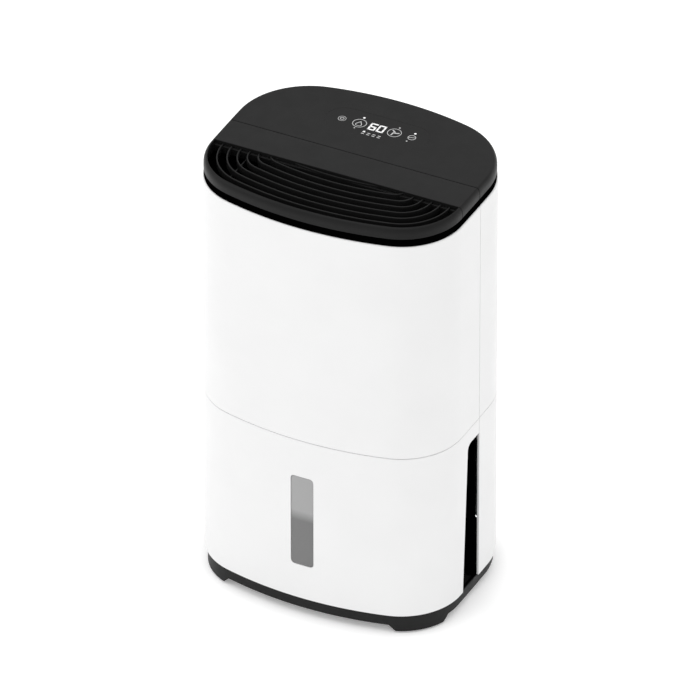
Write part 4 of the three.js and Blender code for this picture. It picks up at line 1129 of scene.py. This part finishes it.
finish_piece("display_digits", bright, lit("display_glow", grey(0.85), 0.25), [], like="touch_panel")
finish_piece("panel_symbols", symbols, lit("symbol_glow", grey(0.50), 0.12), [], like="touch_panel")

# %% [markdown]
# ## Carry handle
# The strip across the lid is a handle: its two legs slide up out of the body. Its section
# is a shallow upside-down tray as wide as the lid. The ends of that section follow the
# lid's curved sides, so its width is worked out afresh at every step from front to back.

# %% Carry handle
guide_low, guide_high = span("handle_guide_right")
GUIDE_REACH = 2.3 * MM
handle_low = span("carry_handle")[0][2]
BAR_THICKNESS = 6.5 * MM
HANDLE_SKIRT = 3.7 * MM


def handle_bar():
    """Section points (side, inset, height) with x = side * half width(inset, y)."""
    outer_right = np.column_stack([np.ones(len(lid_edge)), lid_edge])
    outer_left = outer_right[::-1] * [-1, 1, 1]
    top_share = np.linspace(1, -1, 14)[1:-1]
    top = np.column_stack([top_share, np.full(12, lid_edge[-1, 0]), np.full(12, lid_top)])
    under = lid_top - BAR_THICKNESS
    inner_inset = LID_INSET + HANDLE_SKIRT
    inner = np.array([
        [-1, inner_inset, lid_low], [-1, inner_inset, under], [0, inner_inset, under],
        [1, inner_inset, under], [1, inner_inset, lid_low],
    ])
    section = np.vstack([outer_right, top, outer_left, inner])
    y = np.linspace(strip_front, strip_back, 9)
    x = section[:, :1] * side_at(section[:, 1:2], y)
    return np.stack([x, np.broadcast_to(y, x.shape), np.broadcast_to(section[:, 2:], x.shape)], -1)


def handle_leg(side):
    return block(
        (side * (guide_low[0] + GUIDE_REACH), guide_low[1] + GUIDE_REACH, handle_low),
        (side * (guide_high[0] - GUIDE_REACH), guide_high[1] - GUIDE_REACH, lid_top - 3 * MM),
    )


finish_piece(
    "carry_handle_strip", [tube(handle_bar()), handle_leg(1), handle_leg(-1)],
    FINISH["lid_plastic"], ["carry_handle"], edge=LID_EDGE,
)

# %% [markdown]
# ## Air outlet
# Dry air leaves through the front of the lid. Nested ribs follow the rim like ripples, and
# a few thin bars behind them hold them together. Each rib is a slim rounded section
# carried along the outline at its own inset. Further in, the corner arcs would shrink to a
# point, so the outline keeps a least corner radius for them.

# %% Rim, ribs and bars
RIM_WIDTH = 5.2 * MM
RIB_PITCH = 10.4 * MM
RIB_WIDTH = 1.5 * MM
RIB_TOP = lid_top - 2.2 * MM
RIB_HEIGHT = 8 * MM
RIB_CORNER = 16 * MM
BAR_HALF = 0.8 * MM
bar_top = RIB_TOP - RIB_HEIGHT + MM
bar_bottom = bar_top - 3 * MM

rim_section = np.vstack([lid_edge, [[RIM_WIDTH - 0.3 * MM, lid_top], [RIM_WIDTH, lid_top - 0.6 * MM],
                                    [RIM_WIDTH, lid_low]]])
rim_part = tube(front_wall(rim_section, grille_back))


def rib(number):
    """Rounded upright section, 1.5 mm wide, on the outline pushed in by whole pitches."""
    outer = RIM_WIDTH + number * RIB_PITCH - RIB_WIDTH
    inner = outer + RIB_WIDTH
    low = RIB_TOP - RIB_HEIGHT
    section = soften([(outer, low), (outer, RIB_TOP), (inner, RIB_TOP), (inner, low)], 0.5 * MM, 4)
    return tube(front_wall(section, grille_back, least_corner=RIB_CORNER))


def front_at(x, inset):
    """The front y of the outline at this x."""
    path_x, path_y = quarter(inset, -1, 0.0, steps=(60, 60, 2))
    return float(np.interp(abs(x), path_x[0], path_y[0]))


rib_count = 7
bars = []
for x in (-100, -50, 0, 50, 100):
    front_y = front_at(x * MM, RIM_WIDTH - MM)
    bar_low = (x * MM - BAR_HALF, front_y, bar_bottom)
    bar_high = (x * MM + BAR_HALF, grille_back, bar_top)
    bars.append(block(bar_low, bar_high))
rear_bar_half = float(side_at(RIM_WIDTH - MM, grille_back))
rear_bar_low = (-rear_bar_half, grille_back - 2.7 * MM, bar_bottom)
rear_bar_high = (rear_bar_half, grille_back, RIB_TOP - 2 * MM)
bars.append(block(rear_bar_low, rear_bar_high))
finish_piece(
    "outlet_grille_ribs", [rim_part, *[rib(number) for number in range(1, rib_count + 1)], *bars],
    FINISH["lid_plastic"], ["outlet_grille"], edge=0.25 * MM,
)

# %% [markdown]
# ## Neck
# Between the white shoulder and the lid runs a recessed black neck, which makes the lid
# seem to float. It takes the near-black inner finish, which is its own black and also painted
# shade for the recess. Below the ribs it carries a deck with the fan's outlet and the holes for
# the handle's legs. The deck is flat, so here Booleans are safe and simplest.

# %% Neck, deck and partition
neck_low, neck_high = (corner[2] for corner in span("top_frame"))
NECK_INSET = 1.2 * MM
NECK_WALL = 3 * MM
DECK = 2.5 * MM
neck_section = soften(
    [(NECK_INSET, neck_low), (NECK_INSET, neck_high), (NECK_INSET + NECK_WALL, neck_high),
     (NECK_INSET + NECK_WALL, neck_low)], 0.5 * MM, 4)
neck_ring = sheet(carry(whole_loop, neck_section), close_rows=True, close_columns=True)
deck_x, deck_y = whole_loop([NECK_INSET + 1.5 * MM])
deck_loop = np.stack([deck_x[0], deck_y[0], 0 * deck_x[0]], -1)
deck_rings = np.stack([
    deck_loop * [share, share, 0] + [0, 0, height]
    for share, height in ((0, neck_low), (1, neck_low), (1, neck_low + DECK), (0, neck_low + DECK))
])
scroll_low, _ = span("fan_scroll")
duct = block((37 * MM, scroll_low[1] + 2.5 * MM, 0), (92 * MM, strip_front, 1))
leg_ways = [
    block(
        (side * (guide_low[0] + 1.8 * MM), guide_low[1] + 1.8 * MM, 0),
        (side * (guide_high[0] - 1.8 * MM), guide_high[1] - 1.8 * MM, 1),
    )
    for side in (1, -1)
]
partition_half = float(side_at(NECK_INSET + MM, strip_front))
partition = block(
    (-partition_half, strip_front + 0.2 * MM, neck_low), (partition_half, strip_front + 2.7 * MM, neck_high)
)
# The deck and the neck ring take the near-black inner finish: their own black, and painted shade for the
# recess they sit in.
finish_piece(
    "neck_deck", [sheet(deck_rings, close_columns=True)], FINISH["black_plastic"], [], like="top_frame",
    edge=0.2 * MM, cutters=[duct, *leg_ways],
)
finish_piece(
    "neck_ring", [neck_ring, partition], FINISH["black_plastic"], ["top_frame"], cutters=leg_ways,
)

# %% [markdown]
# ## Rear filter cover
# Room air enters at the back through a white louvred cover that pulls out with its fabric
# screen. Each louvre is a slanted slat that follows the rear bow. They are sections
# carried along x, all from one function, and a frame of four bars holds them.

# %% Louvres and frame
FRAME_BAR = 8 * MM
LOUVRE_PITCH = 18 * MM
SLAT_HALF = 4.2 * MM
cover_half = filter_high[0]


def rear_at(x, inset):
    """The rear y of the outline at this x: bow centre + sqrt((R - inset)^2 - x^2)."""
    return HALF_DEPTH - BOW[1] + np.sqrt((BOW[1] - inset) ** 2 - x**2)


def rear_bar(section, x0, x1, count=33):
    """Carries (inset, height) pairs along the rear bow from x0 to x1."""
    x = np.linspace(x0, x1, count)
    y = rear_at(x, section[:, :1])
    across = np.broadcast_to(x, y.shape)
    height = np.broadcast_to(section[:, 1:], y.shape)
    return tube(np.stack([across, y, height], -1))


def slat(z):
    """A thin slat that slopes down towards the room."""
    lean = 2.2 * MM
    half = SLAT_HALF
    section = soften([
        (0.1 * MM, z - half), (2.4 * MM, z - half + lean), (2.4 * MM, z + half), (0.1 * MM, z + half - lean),
    ], 0.6 * MM, 4)
    return rear_bar(section, -cover_half + MM, cover_half - MM)


def flat_bar(low, high, x0=-cover_half, x1=cover_half, count=33):
    section = soften([(0, low), (2.5 * MM, low), (2.5 * MM, high), (0, high)], 0.35 * MM, 4)
    return rear_bar(section, x0, x1, count)


louvre_middle = (filter_low[2] + filter_high[2]) / 2
louvre_rows = int((filter_high[2] - filter_low[2] - 2 * FRAME_BAR) // LOUVRE_PITCH)
first_louvre = louvre_middle - louvre_rows * LOUVRE_PITCH / 2
slats = [slat(first_louvre + number * LOUVRE_PITCH) for number in range(1, louvre_rows)]
edge_bar = FRAME_BAR + 1.5 * MM
uprights = [
    flat_bar(filter_low[2] + MM, filter_high[2] - MM, x0, x1, 5)
    for x0, x1 in (
        (-cover_half, -cover_half + FRAME_BAR), (-1.5 * MM, 1.5 * MM), (cover_half - FRAME_BAR, cover_half)
    )
]
finish_piece(
    "filter_cover_louvres",
    [*slats, *uprights, flat_bar(filter_low[2], filter_low[2] + edge_bar),
     flat_bar(filter_high[2] - edge_bar, filter_high[2])],
    FINISH["white_plastic"], ["filter_cover"],
)

# %% [markdown]
# ## Small rear fittings
# Four cross-head screws hold the rear shells. A rubber bush lines the hole for the mains
# lead, and a rubber plug closes the drain. All are turned shapes, with the cross cut in.

# %% Screws, bush and plug
for node in screw_names:
    low, high = span(node)
    middle = (low + high) / 2
    head = (high[0] - low[0]) / 2
    back = high[1]
    dome = [(0, back - 2.6 * MM), (head - 0.3 * MM, back - 2.6 * MM), (head, back - 2.2 * MM),
            (head - 0.4 * MM, back - 0.6 * MM), (head * 0.6, back - 0.1 * MM), (0, back)]
    shank = [
        (0, low[1]), (1.2 * MM, low[1]), (1.8 * MM, low[1] + MM),
        (1.8 * MM, back - 2 * MM), (0, back - 2 * MM),
    ]
    cross = [block((middle[0] - a * MM, back - 1.2 * MM, middle[2] - b * MM),
                   (middle[0] + a * MM, back + MM, middle[2] + b * MM)) for a, b in ((2.4, 0.5), (0.5, 2.4))]
    centre = (middle[0], 0, middle[2])
    finish_piece(f"{node}_head", [turned(dome, centre, "y", 36), turned(shank, centre, "y", 20)],
                 FINISH["steel"], [node], cutters=cross)

gland_middle = (gland_low + gland_high) / 2
gland_radius = (gland_high[0] - gland_low[0]) / 2
BORE = 4 * MM
bush = [(BORE, gland_low[1]), (gland_radius, gland_low[1]), (gland_radius, gland_low[1] + 2.2 * MM),
        (gland_radius - FLANGE, gland_low[1] + 2.3 * MM), (gland_radius - FLANGE, gland_high[1] - MM),
        (gland_radius - FLANGE - MM, gland_high[1]), (BORE + MM, gland_high[1]), (BORE, gland_high[1] - MM),
        (BORE, gland_low[1])]
finish_piece("cord_gland_bush", [turned(bush, (gland_middle[0], 0, gland_middle[2]), "y")],
             FINISH["rubber"], ["cord_gland"])

plug_middle = (plug_low + plug_high) / 2
plug_radius = (plug_high[0] - plug_low[0]) / 2
stem = plug_radius - PLUG_LIP
head_back = plug_high[1] - 1.4 * MM
stopper = [(0, plug_low[1]), (stem - MM, plug_low[1]), (stem, plug_low[1] + MM), (stem, head_back - 1.6 * MM),
           (plug_radius, head_back - 1.6 * MM), (plug_radius, head_back - 0.5 * MM),
           (plug_radius - 0.5 * MM, head_back), (0, head_back)]
pull_tab = block((plug_middle[0] - 4 * MM, head_back - 0.5 * MM, plug_middle[2] - MM),
                 (plug_middle[0] + 4 * MM, plug_high[1], plug_middle[2] + MM))
finish_piece("drain_plug_stopper", [turned(stopper, (plug_middle[0], 0, plug_middle[2]), "y"), pull_tab],
             FINISH["rubber"], ["drain_plug"])
